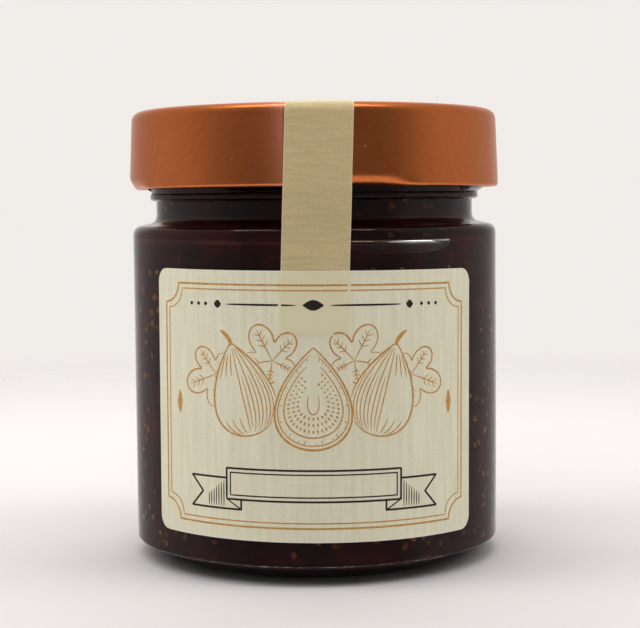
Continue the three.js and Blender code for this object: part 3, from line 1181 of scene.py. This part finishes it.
@dataclass
class PaperSeal:
    """The paper strip over the lid, in the two parts that it tears into."""

    jar: GlassJar
    lid: TwistOffLid
    width: float = 14.4
    paper: float = 0.12
    glue: float = 0.05
    low_end: float = box_mm("seal_strip_jar")[0].z
    on_top: float = 52.0
    lean: float = math.tan(math.radians(2))
    plumb_height: float = 64.5
    tear: float = 0.2
    rags: tuple[Triple, ...] = ((1.0, 2.1, 0.0), (0.6, 4.7, 1.0), (0.4, 9.3, 2.0))  # size, pace and shift
    rag_share: float = 4.0
    bridge: float = 3.0  # the strip leaves the glass this far below the shoulder
    column: float = 0.5
    row: float = 0.6

    def across(self) -> list[float]:
        """Lists the places across the strip."""
        return between(-self.width / 2, self.width / 2, self.column)

    def lean_at(self, height: float) -> float:
        """Gives how far the strip's middle is to the right of the front at a height."""
        return (height - self.plumb_height) * self.lean

    def tear_height(self, side: float) -> float:
        """Gives the height of the ragged line where the strip tears, at a place across it."""
        middle = self.lid.bottom - self.tear / 2
        rag = sum(size * math.sin(side * pace + shift) for size, pace, shift in self.rags)
        return middle + self.tear * rag / self.rag_share

    def lid_point(self, side: float, travel: float, lift: float) -> Vector:
        """Gives a point of the part on the lid.

        Args:
            side: Place across the strip.
            travel: Length along the strip, from the lid's edge up over the top.
            lift: Distance from the lid's surface.

        Returns:
            The point.
        """
        lid = self.lid
        skirt = lid.corner_height - lid.bottom
        bend = lid.corner * math.pi / 2
        if travel <= skirt:
            low = self.tear_height(side)
            height = low + travel * (lid.corner_height - low) / skirt
            radius = lid.skirt_radius(height) + lift
            return polar(radius, math.degrees((side + self.lean_at(height)) / radius), height)
        if travel <= skirt + bend:
            turn = (travel - skirt) / lid.corner
            radius = lid.corner_radius + (lid.corner + lift) * math.cos(turn)
            height = lid.corner_height + (lid.corner + lift) * math.sin(turn)
            return polar(radius, math.degrees((side + self.lean_at(lid.bottom + travel)) / radius), height)
        over = travel - skirt - bend
        start = polar(lid.corner_radius, math.degrees((side + self.lean_at(lid.top)) / lid.corner_radius), 0)
        place = start + Vector((over * self.lean, over, 0))
        return Vector((place.x, place.y, lid.top_height(place.to_2d().length) + lift))

    def jar_point(self, side: float, travel: float, lift: float) -> Vector:
        """Gives a point of the part on the jar.

        Args:
            side: Place across the strip.
            travel: Length along the strip, from its low end up to the tear.
            lift: Distance from the glass.

        Returns:
            The point.
        """
        top = self.tear_height(side)
        height = self.low_end + travel * (top - self.low_end) / (self.lid.bottom - self.low_end)
        wall_top = self.jar.shoulder_height - self.jar.shoulder_corner
        share = smooth(wall_top - self.bridge, self.lid.bottom, height)
        out = self.lid.skirt_radius(self.lid.bottom) - self.jar.body_radius
        radius = self.jar.body_radius + out * share
        return polar(radius + lift, math.degrees((side + self.lean_at(height)) / radius), height)

    def add_part(self, name: str, place: Callable[..., Vector], travels: list[float]) -> Piece:
        """Builds one part of the strip.

        Args:
            name: Name of the piece.
            place: Gives a point at a place across, a length along and a lift.
            travels: Lengths along the part.

        Returns:
            The mesh object.
        """
        sides = self.across()
        outer = [[place(s, t, self.glue + self.paper) for s in sides] for t in travels]
        inner = [[place(s, t, self.glue) for s in sides] for t in travels]
        tags = [[Vector((s, t, self.width / 2 - abs(s))) for s in sides] for t in travels]
        draft = MeshDraft()
        draft.add_slab(outer, inner, tags)
        return draft.to_object(name)

    def build(self) -> list[Piece]:
        """Builds both parts and dresses them in tan laid paper."""
        lid = self.lid
        length = lid.corner_height - lid.bottom + lid.corner * math.pi / 2 + self.on_top
        hang = lid.bottom - self.low_end
        upper = self.add_part("paper_seal_lid", self.lid_point, between(0, length, self.row))
        lower = self.add_part("paper_seal_jar", self.jar_point, between(0, hang, self.row))
        return [
            settle(upper, Body.LID, Slot.SEAL, SealPaper(), "seal_strip_lid"),
            settle(lower, Body.JAR, Slot.SEAL, SealPaper(), "seal_strip_jar"),
        ]


@dataclass
class FrontLabel:
    """The label, which lies over the end of the seal."""

    jar: GlassJar
    seal: PaperSeal
    width: float = 77.9
    middle_angle: float = -0.8
    bottom: float = box_mm("front_label")[0].z
    top: float = box_mm("front_label")[1].z
    corner: float = 3.0
    paper: float = 0.12
    glue: float = 0.06
    tilt: float = math.tan(math.radians(-0.46))
    ramp: float = 0.7  # width over which the label climbs onto the seal
    column: float = 0.5
    row: float = 0.6

    @property
    def height(self) -> float:
        """Gives the label's height."""
        return self.top - self.bottom

    def over_seal(self, u: float, v: float) -> float:
        """Gives whether a place lies over the end of the seal, from 0 to 1."""
        height = (self.bottom + self.top) / 2 + v + u * self.tilt
        turned = math.radians(self.middle_angle) * self.jar.body_radius
        side = u - v * self.tilt + turned - self.seal.lean_at(height)
        half = self.seal.width / 2
        inside = smooth(half + self.ramp, half, abs(side))
        return inside * smooth(self.seal.low_end - self.ramp, self.seal.low_end, height)

    def place(self, u: float, v: float, lift: float) -> Vector:
        """Gives a point of the label.

        Args:
            u: Place to the right of the label's middle.
            v: Place above its middle.
            lift: Distance from the paper's back.

        Returns:
            The point.
        """
        under = self.glue + (self.seal.glue + self.seal.paper) * self.over_seal(u, v)
        radius = self.jar.body_radius + self.jar.wave + under + lift
        height = (self.bottom + self.top) / 2 + v + u * self.tilt
        turn = math.degrees((u - v * self.tilt) / self.jar.body_radius)
        return polar(radius, self.middle_angle + turn, height)

    def half_height(self, u: float) -> float:
        """Gives half the label's height at a place across it, less at the round corners."""
        into = max(0.0, abs(u) - (self.width / 2 - self.corner))
        return self.height / 2 - self.corner + math.sqrt(max(0.0, self.corner**2 - into**2))

    def columns(self) -> list[float]:
        """Lists the places across the label, closer together round the corners."""
        side = self.width / 2 - self.corner
        turns = [math.radians(a) for a in between(0, 90, ARC_STEP)][1:]
        ends = [side + self.corner * math.sin(t) for t in turns]
        return [*[-u for u in reversed(ends)], *between(-side, side, self.column), *ends]

    def build(self) -> Piece:
        """Builds the label and dresses it in cream laid paper."""
        columns = self.columns()
        shares = between(-1, 1, 2 * self.row / self.height)
        places = [[(u, share * self.half_height(u)) for u in columns] for share in shares]
        outer = [[self.place(u, v, self.paper) for u, v in row] for row in places]
        inner = [[self.place(u, v, 0) for u, v in row] for row in places]
        tags = [[Vector((u, v, self.edge_gap(u, v))) for u, v in row] for row in places]
        draft = MeshDraft()
        draft.add_slab(outer, inner, tags)
        flat = [self.over_seal(u, v) for row in places for u, v in row]
        draft.tones = dict(enumerate(flat + flat))
        return settle(draft.to_object("front_label_paper"), Body.JAR, Slot.LABEL, LabelPaper(), "front_label")

    def edge_gap(self, u: float, v: float) -> float:
        """Gives the distance from a place to the label's nearest edge."""
        return min(self.width / 2 - abs(u), self.half_height(u) - abs(v))


@dataclass(frozen=True)
class Stroke:
    """One pen stroke on the label: its line, its width and how its width runs along it."""

    points: tuple[Point, ...]
    width: float
    ink: Ink = Ink.OCHRE
    thin: float = 0.35  # share of the width that is left at the ends
    power: float = 0.6  # how soon the stroke swells from its ends

    def width_at(self, share: float) -> float:
        """Gives the stroke's width at a share of its length."""
        swell = max(0.0, math.sin(math.pi * share)) ** self.power
        return self.width * (self.thin + (1 - self.thin) * swell)


@dataclass(frozen=True)
class FigShape:
    """The outline of a fig: a drop with a narrow neck, turned about its middle."""

    middle: Point
    height: float
    width: float
    tilt: float = 0.0
    taper: float = 0.9
    belly: float = 1.12
    step: float = 0.12

    def local(self, turn: float, share: float = 1.0, scale: float = 1.0) -> Point:
        """Gives a point on the outline.

        Args:
            turn: Place along the outline in radians, from the neck, half a turn to the eye.
            share: Share of the half width, for the lines that run down the fig.
            scale: Size of the outline against the fig's own.

        Returns:
            The point on the label.
        """
        wide = self.width / 2 * share * scale * self.belly
        x = wide * math.sin(turn) * abs(math.sin(turn / 2)) ** self.taper
        y = self.height / 2 * scale * math.cos(turn)
        lean = math.radians(self.tilt)
        u = self.middle[0] + x * math.cos(lean) - y * math.sin(lean)
        return (u, self.middle[1] + x * math.sin(lean) + y * math.cos(lean))

    def covers(self, point: Point) -> bool:
        """Tells whether a place on the label lies inside the outline."""
        lean = math.radians(-self.tilt)
        dx, dy = point[0] - self.middle[0], point[1] - self.middle[1]
        x = dx * math.cos(lean) - dy * math.sin(lean)
        y = (dx * math.sin(lean) + dy * math.cos(lean)) / (self.height / 2)
        if abs(y) >= 1:
            return False
        turn = math.acos(y)
        return abs(x) < self.width / 2 * self.belly * math.sin(turn) * math.sin(turn / 2) ** self.taper

    def line(self, start: float, end: float, share: float = 1.0, scale: float = 1.0) -> tuple[Point, ...]:
        """Draws a stretch of the outline or of a line that runs down the fig."""
        return tuple(self.local(t, share, scale) for t in between(start, end, self.step))

    def mark(self, turn: float, outer: float, inner: float, step: float) -> tuple[Point, ...]:
        """Draws a short line that points into the fig, between two scales of its outline."""
        return tuple(straight(self.local(turn, 1, outer), self.local(turn, 1, inner), step))


@dataclass
class LabelPrint:
    """A plain line drawing of figs and leaves in a ruled frame, with a blank ribbon below it."""

    label: FrontLabel
    fine: float = 0.26
    bold: float = 0.4
    faint: float = 0.208
    film: float = 0.02
    lift: float = 0.004
    long_run: float = 1.0  # spacing of the points along a ruled line
    short_run: float = 0.3
    frame_inset: float = 3.0
    frame_gap: float = 1.1
    notch: float = 4.2
    left_fig: FigShape = FigShape((-15.5, 3.6), 20.0, 16.0, 14.0)
    right_fig: FigShape = FigShape((15.5, 3.6), 20.0, 16.0, -14.0)
    half_fig: FigShape = FigShape((0.0, 1.8), 21.5, 18.5)
    ribs: tuple[float, ...] = (-0.8, -0.55, -0.28, 0.0, 0.28, 0.55, 0.8)
    rib_spans: tuple[Point, ...] = ((0.5, 2.75), (0.7, 1.25), (2.2, 2.8))  # one in shade, then two in light
    shade_edge: float = 0.1
    shades: tuple[float, ...] = (-0.9, -0.68, -0.42, -0.14)
    shade_span: Point = (1.3, 2.6)
    stem_span: Point = (-0.6, 2.6)
    stem_curve: float = 0.25
    stem_width: float = 0.88
    cut_lines: tuple[tuple[float, float, float, float], ...] = (  # gap at the neck, share, scale and width
        (0.0, 1.0, 1.0, 0.46),
        (0.35, 1.0, 0.92, 0.26),
        (0.6, 1.0, 0.76, 0.312),
        (1.3, 0.5, 0.3, 0.26),
    )
    seed_rings: tuple[tuple[float, int], ...] = ((0.68, 34), (0.55, 27), (0.43, 20))  # scale and number
    seed_gap: float = 0.75
    seed_length: float = 0.075
    seed_width: float = 0.42
    seed_thin: float = 0.15
    ticks: int = 40
    tick_gap: float = 0.5
    tick_scales: Triple = (0.9, 0.83, 0.03)  # outer end, longest inner end and its steps
    leaves: tuple[tuple[Point, float], ...] = (  # base and heading
        ((-8.6, 9.8), 118),
        ((8.6, 9.8), 62),
        ((-21.5, 6.5), 200),
        ((21.5, 6.5), -20),
    )
    leaf_radius: float = 8.2
    leaf_width: float = 0.36
    lobes: int = 5
    lobe_shape: Triple = (0.42, 0.58, 0.75)  # least reach, growth and roundness
    lobe_fall: Point = (0.78, 0.22)  # reach of the side lobes and what the middle one has more
    leaf_open: float = 2.75
    leaf_step: float = 0.06
    vein_share: float = 0.9
    vein_run: float = 0.4
    vein_thin: float = 0.2
    side_shares: tuple[float, ...] = (0.4, 0.55, 0.7)
    side_reach: Triple = (0.2, 0.12, 0.12)  # across, its fall towards the tip, and along
    side_width: float = 0.195
    ribbon_middle: Point = (0.0, -16.6)
    ribbon_size: Point = (38.0, 6.6)
    ribbon_tail: float = 9.0
    ribbon_inset: float = 0.9
    ribbon_drop: float = 0.32
    ribbon_fold: float = 3.4
    ribbon_fork: float = 3.0
    tail_run: float = 0.6
    hatches: int = 7
    hatch_start: float = 0.7
    hatch_gap: float = 0.62
    hatch_step: float = 0.5
    rule_height: float = 21.4
    rule_span: Point = (3.6, 19.0)
    rule_taper: Point = (0.2, 0.4)
    middle_diamond: Point = (4.4, 2.2)
    end_diamond: Triple = (21.0, 1.7, 1.7)  # place across, width and height
    dots: tuple[float, ...] = (24.0, 25.9, 27.8)
    dot_size: Point = (0.8, 0.8)
    side_diamond: Triple = (31.6, 1.5, 5.0)
    diamond_steps: int = 12
    diamond_taper: Point = (0.02, 1.0)

    def visible(self, points: Sequence[Point], fronts: Sequence[FigShape]) -> list[tuple[Point, ...]]:
        """Cuts a line where the shapes in front cover it, and gives the stretches that show."""
        runs: list[list[Point]] = [[]]
        for point in points:
            if any(f.covers(point) for f in fronts):
                runs.append([])
            else:
                runs[-1].append(point)
        return [tuple(run) for run in runs if len(run) > 2]

    def whole_fig(self, fig: FigShape, fronts: Sequence[FigShape], lit: int) -> list[Stroke]:
        """Draws a whole fig with ribs and shading.

        Args:
            fig: Its outline.
            fronts: Shapes in front of it.
            lit: Side that the light falls on, -1 for left and 1 for right.

        Returns:
            Its strokes.
        """
        lines = [(fig.line(0, math.tau), self.bold)]
        for share in self.ribs:
            spans = self.rib_spans[:1] if share * lit < self.shade_edge else self.rib_spans[1:]
            lines += [(fig.line(*span, share), self.fine) for span in spans]
        lines += [(fig.line(*self.shade_span, share * lit), self.faint) for share in self.shades]
        neck = fig.local(0)
        side, up = math.sin(math.radians(fig.tilt)), math.cos(math.radians(fig.tilt))
        along = between(*self.stem_span, self.short_run)
        stem = [(neck[0] - side * s + self.stem_curve * s * s * lit, neck[1] + up * s) for s in along]
        lines.append((tuple(stem), self.stem_width))
        return [Stroke(run, width) for line, width in lines for run in self.visible(line, fronts)]

    def cut_fig(self, fig: FigShape) -> list[Stroke]:
        """Draws a halved fig with its skin, flesh and seeds."""
        strokes = [
            Stroke(fig.line(gap, math.tau - gap, share, scale), width)
            for gap, share, scale, width in self.cut_lines
        ]
        for ring, (scale, count) in enumerate(self.seed_rings):
            for i in range(count):
                turn = self.seed_gap + (math.tau - 2 * self.seed_gap) * (i + ring % 2 / 2) / count
                seed = fig.mark(turn, scale, scale - self.seed_length, self.short_run)
                strokes.append(Stroke(seed, self.seed_width, Ink.OCHRE, self.seed_thin))
        outer, inner, step = self.tick_scales
        for i in range(self.ticks):
            turn = self.tick_gap + (math.tau - 2 * self.tick_gap) * i / (self.ticks - 1)
            strokes.append(Stroke(fig.mark(turn, outer, inner + step * (i % 3), self.short_run), self.faint))
        return strokes

    def leaf(self, base: Point, heading: float, fronts: Sequence[FigShape]) -> list[Stroke]:
        """Draws a leaf of five lobes with its veins.

        Args:
            base: Where its stalk meets the blade.
            heading: Direction of the middle lobe in degrees, from the right.
            fronts: Shapes in front of it.

        Returns:
            Its strokes.
        """
        least, growth, roundness = self.lobe_shape

        def edge(turn: float) -> Point:
            lobe = least + growth * abs(math.cos(self.lobes / 2 * turn)) ** roundness
            reach = self.leaf_radius * lobe * (self.lobe_fall[0] + self.lobe_fall[1] * math.cos(turn))
            away = math.radians(heading) + turn
            return (base[0] + reach * math.cos(away), base[1] + reach * math.sin(away))

        rim = [edge(t) for t in between(-self.leaf_open, self.leaf_open, self.leaf_step)]
        strokes = [Stroke(run, self.leaf_width) for run in self.visible(rim, fronts)]
        for lobe in range(-(self.lobes // 2), self.lobes // 2 + 1):
            tip = edge(lobe * math.tau / self.lobes)
            end = tuple(b + (t - b) * self.vein_share for b, t in zip(base, tip))
            runs = self.visible(straight(base, end, self.vein_run), fronts)
            strokes += [Stroke(run, self.fine, Ink.OCHRE, self.vein_thin) for run in runs]
            strokes += self.side_veins(base, tip, fronts)
        return strokes

    def side_veins(self, base: Point, tip: Point, fronts: Sequence[FigShape]) -> list[Stroke]:
        """Draws the short veins on both sides of a lobe's middle vein."""
        along = Vector(tip) - Vector(base)
        across, fall, ahead = self.side_reach
        strokes = []
        for share in self.side_shares:
            for side in (-1, 1):
                start = Vector(base) + along * share
                off = Vector((-along.y, along.x)) * side * (across - fall * share) + along * ahead
                vein = straight(tuple(start), tuple(start + off), self.short_run)
                strokes += [Stroke(run, self.side_width) for run in self.visible(vein, fronts)]
        return strokes

    def notched_frame(self, inset: float, width: float) -> Stroke:
        """Draws a frame round the label with hollow corners."""
        across = self.label.width / 2 - inset
        up = self.label.height / 2 - inset
        points: list[Point] = []
        for right, top, start in ((1, 1, 180), (1, -1, 90), (-1, -1, 0), (-1, 1, -90)):
            points += arc((right * across, top * up), self.notch, start, start + 90)
        points.sort(key=lambda p: -math.atan2(p[1], p[0]))
        sides = zip(points, points[1:] + points[:1])
        outline = [point for a, b in sides for point in straight(a, b, self.long_run)[:-1]]
        return Stroke((*outline, outline[0]), width, Ink.OCHRE, 1.0)

    def diamond(self, middle: Point, size: Sequence[float], ink: Ink) -> Stroke:
        """Draws a filled diamond."""
        width, height = size
        ends = ((middle[0] - width / 2, middle[1]), (middle[0] + width / 2, middle[1]))
        return Stroke(tuple(straight(*ends, width / self.diamond_steps)), height, ink, *self.diamond_taper)

    def rules(self) -> list[Stroke]:
        """Draws a pair of tapered rules, left and right of the middle."""
        strokes = []
        for side in (-1, 1):
            ends = [(side * u, self.rule_height) for u in self.rule_span]
            line = tuple(straight(*ends, self.long_run))
            strokes.append(Stroke(line, self.bold, Ink.DARK, *self.rule_taper))
        return strokes

    def on_ribbon(self, corners: Sequence[Point], step: float, width: float, thin: float = 1.0) -> Stroke:
        """Draws a line through corners that are counted from the ribbon's middle."""
        middle, level = self.ribbon_middle
        path = tuple((middle + u, level + v) for u, v in path_through(corners, step))
        return Stroke(path, width, Ink.DARK, thin)

    def ribbon(self) -> list[Stroke]:
        """Draws a blank ribbon with folded, forked ends."""
        width, height = self.ribbon_size
        strokes = []
        for inset, line in ((0.0, self.bold), (self.ribbon_inset, self.fine)):
            half, rise = width / 2 - inset, height / 2 - inset
            corners = [(-half, -rise), (half, -rise), (half, rise), (-half, rise), (-half, -rise)]
            strokes.append(self.on_ribbon(corners, self.long_run, line))
        drop = height * self.ribbon_drop
        low, high = -height / 2 - drop, height / 2 - drop
        for side in (-1, 1):
            near, edge = side * (width / 2 - self.ribbon_fold), side * width / 2
            far = side * (width / 2 + self.ribbon_tail)
            fork = (side * (width / 2 + self.ribbon_tail - self.ribbon_fork), (low + high) / 2)
            tail = [(near, -height / 2), (near, low), (far, low), fork, (far, high), (edge, high)]
            strokes.append(self.on_ribbon(tail, self.tail_run, self.bold))
            strokes.append(self.on_ribbon([(edge, -height / 2), (near, low)], self.hatch_step, self.fine))
            for i in range(self.hatches):
                u = edge + side * (self.hatch_start + self.hatch_gap * i)
                ends = [(u, low + self.hatch_step), (u, high - self.hatch_step - self.hatch_step * i)]
                strokes.append(self.on_ribbon(ends, self.hatch_step, self.faint, Stroke.thin))
        return strokes

    def strokes(self) -> list[Stroke]:
        """Lists all the strokes of the print."""
        half = [self.half_fig]
        figs = [self.half_fig, self.left_fig, self.right_fig]
        drawn = [
            self.notched_frame(self.frame_inset, self.bold),
            self.notched_frame(self.frame_inset + self.frame_gap, self.fine),
            *self.cut_fig(self.half_fig),
            *self.whole_fig(self.left_fig, half, -1),
            *self.whole_fig(self.right_fig, half, 1),
            *[stroke for base, heading in self.leaves for stroke in self.leaf(base, heading, figs)],
            *self.ribbon(),
            *self.rules(),
            self.diamond((0, self.rule_height), self.middle_diamond, Ink.DARK),
        ]
        end, *end_size = self.end_diamond
        beside, *side_size = self.side_diamond
        for side in (-1, 1):
            drawn.append(self.diamond((side * end, self.rule_height), end_size, Ink.DARK))
            drawn += [self.diamond((side * u, self.rule_height), self.dot_size, Ink.DARK) for u in self.dots]
            drawn.append(self.diamond((side * beside, 0), side_size, Ink.OCHRE))
        return drawn

    def add_stroke(self, draft: MeshDraft, stroke: Stroke) -> None:
        """Adds a stroke as a thin film on the paper.

        Args:
            draft: Mesh that gathers the strokes of one ink.
            stroke: The stroke.
        """
        points = [Vector(p) for p in stroke.points]
        last = len(points) - 1
        rims: list[tuple[Vector, Vector]] = []
        for i, point in enumerate(points):
            ahead = points[min(i + 1, last)] - points[max(i - 1, 0)]
            if stroke.points[0] == stroke.points[-1] and i in (0, last):
                ahead = points[1] - points[last - 1]
            normal = Vector((-ahead.y, ahead.x)).normalized() * stroke.width_at(i / last) / 2
            rims.append((point + normal, point - normal))
        top = self.label.paper + self.film
        low = self.label.paper - self.lift
        outer = [[self.label.place(*p, top) for p in rim] for rim in rims]
        inner = [[self.label.place(*p, low) for p in rim] for rim in rims]
        draft.add_slab(outer, inner)

    def build(self) -> list[Piece]:
        """Builds the print of each ink as one piece."""
        drafts = {ink: MeshDraft() for ink in Ink}
        for stroke in self.strokes():
            self.add_stroke(drafts[stroke.ink], stroke)
        finishes = {Ink.OCHRE: OchreInk(), Ink.DARK: DarkInk()}
        return [
            settle(draft.to_object(f"label_print_{ink.value}"), Body.JAR, Slot.LABEL, finishes[ink])
            for ink, draft in drafts.items()
        ]


@dataclass(frozen=True)
class SoftLight:
    """A soft rectangular light, in metres and watts."""

    name: str
    place: Triple
    size: Point
    power: float
    target: Triple = (0.0, 0.0, (cad_low.z + cad_high.z) / 2)  # the middle of the jar
    mirrored: bool = False

    def build(self) -> None:
        """Builds the light, facing its target."""
        lamp = bpy.data.lights.new(self.name, "AREA")
        lamp.shape = "RECTANGLE"
        lamp.size, lamp.size_y = self.size
        lamp.energy = self.power
        holder = add_object(self.name, lamp)
        holder.location = self.place
        aim = Vector(self.target) - Vector(self.place)
        holder.rotation_euler = aim.to_track_quat("-Z", "Y").to_euler()
        holder.visible_glossy = self.mirrored


@dataclass
class Studio:
    """A pale floor, soft light and the camera, in metres."""

    floor_half: float = 0.9
    near_half: float = 0.0445  # the part of the floor that the jar mirrors
    lens: float = 88.97
    sensor: float = 36.0
    clip: float = 0.01
    camera_place: Triple = (0.0, -0.36939, 0.08072)
    pitch: float = 4.019
    roll: float = 0.541
    yaw: float = -0.2097
    gamma: float = 0.82
    lights: tuple[SoftLight, ...] = (
        SoftLight("key_softbox", (-0.03, -0.11, 0.8), (0.8, 0.14), 1.5, mirrored=True),
        SoftLight("front_fill", (-0.1, -0.45, 0.58), (0.6, 0.3), 1.35),
        SoftLight("side_fill_left", (-0.6, -0.1, 0.55), (0.4, 0.4), 1.8),
        SoftLight("side_fill_right", (0.6, -0.1, 0.55), (0.4, 0.4), 1.85),
        SoftLight("back_wash", (-0.05, 0.32, 0.5), (0.9, 0.25), 2.1, target=(-0.05, 0.2, 0.0)),
    )
    surround: str = "FFFBF8"
    front_share: float = 0.2  # how bright each part of the tent is
    side_share: float = 0.5
    back_share: float = 0.8
    floor_share: float = 0.8
    plain_share: float = 0.9
    left_flap: Point = (-40.0, -88.0)
    right_flap: Point = (52.0, 74.0)
    back_fade: Point = (140.0, 165.0)
    floor_fade: Point = (-0.42, -0.7)

    def build_floor(self) -> None:
        """Builds the floor in two pieces: the middle, which the jar mirrors, and what lies round it."""
        limits = (-self.floor_half, -self.near_half, self.near_half, self.floor_half)
        spans = list(zip(limits, limits[1:]))
        middle = (spans[1], spans[1])
        around = [(x, y) for x in spans for y in spans if (x, y) != middle]
        for name, patches in (("floor", [middle]), ("backdrop", around)):
            draft = MeshDraft()
            for across, along in patches:
                rows = [draft.add_points([Vector((x, y, 0.0)) / MM for x in across]) for y in along]
                draft.join_rows(rows, around=False, closed=False)
            paper = draft.to_object(name)
            paper.data.materials.append(BackdropPaper().material())
            paper.visible_glossy = name == "floor"

    def build_tent(self) -> None:
        """Builds a white tent that is dimmer towards the camera, and plain where it is seen itself."""
        world = bpy.data.worlds.new("white_tent")
        world.use_nodes = True
        tree = world.node_tree
        way = add_node(tree, "ShaderNodeTexCoord").outputs["Generated"]
        parts = add_node(tree, "ShaderNodeSeparateXYZ", {0: way}).outputs
        turn = calculate(tree, "ARCTAN2", parts["X"], calculate(tree, "MULTIPLY", parts["Y"], -1.0))
        shares = (self.front_share, self.side_share)
        flaps = [ramp(tree, turn, in_radians(flap), shares) for flap in (self.left_flap, self.right_flap)]
        back = ramp(tree, calculate(tree, "ABSOLUTE", turn), in_radians(self.back_fade))
        around = blend(tree, back, calculate(tree, "MAXIMUM", *flaps), self.back_share)
        strength = blend(tree, ramp(tree, parts["Z"], self.floor_fade), around, self.floor_share)
        tent = tree.nodes["Background"]
        colour = {"Color": linear(self.surround)}
        feed(tree, tent, {**colour, "Strength": strength})
        plain = add_node(tree, "ShaderNodeBackground", {**colour, "Strength": self.plain_share})
        seen = add_node(tree, "ShaderNodeLightPath").outputs["Is Camera Ray"]
        both = add_node(tree, "ShaderNodeMixShader", {0: seen, 1: tent.outputs[0], 2: plain.outputs[0]})
        feed(tree, tree.nodes["World Output"], {"Surface": both.outputs[0]})
        bpy.context.scene.world = world

    def build_camera(self) -> None:
        """Sets the camera at the photograph's place and angle."""
        camera = bpy.data.cameras.new("camera")
        camera.lens = self.lens
        camera.sensor_width = self.sensor
        camera.clip_start = self.clip
        holder = add_object("camera", camera)
        holder.location = self.camera_place
        holder.rotation_euler = [math.radians(a) for a in (90 - self.pitch, self.roll, self.yaw)]
        bpy.context.scene.camera = holder

    def build(self) -> None:
        """Builds the floor, the lights, the tent and the camera."""
        self.build_floor()
        for light in self.lights:
            light.build()
        self.build_tent()
        self.build_camera()
        settings = bpy.context.scene.view_settings
        settings.view_transform = "Standard"
        settings.gamma = self.gamma


def dress_gasket() -> None:
    """Gives the sealing ring under the lid its finish."""
    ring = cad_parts["lid_gasket"]
    finish = SealingCompound().material()
    for holder in ring.material_slots:
        holder.material = finish
    log.info("%s: dressed", ring.name)


def main() -> None:
    """Builds the jar piece by piece, then the studio round it."""
    logging.basicConfig(level=logging.INFO, format="%(message)s")
    jar = GlassJar()
    jar.build()
    jar.build_seam()
    jam = JamFill(jar)
    jam.build()
    jam.build_seeds()
    lid = TwistOffLid()
    lid.build()
    dress_gasket()
    seal = PaperSeal(jar, lid)
    seal.build()
    label = FrontLabel(jar, seal)
    label.build()
    LabelPrint(label).build()
    Studio().build()


if __name__ == "__main__":
    main()
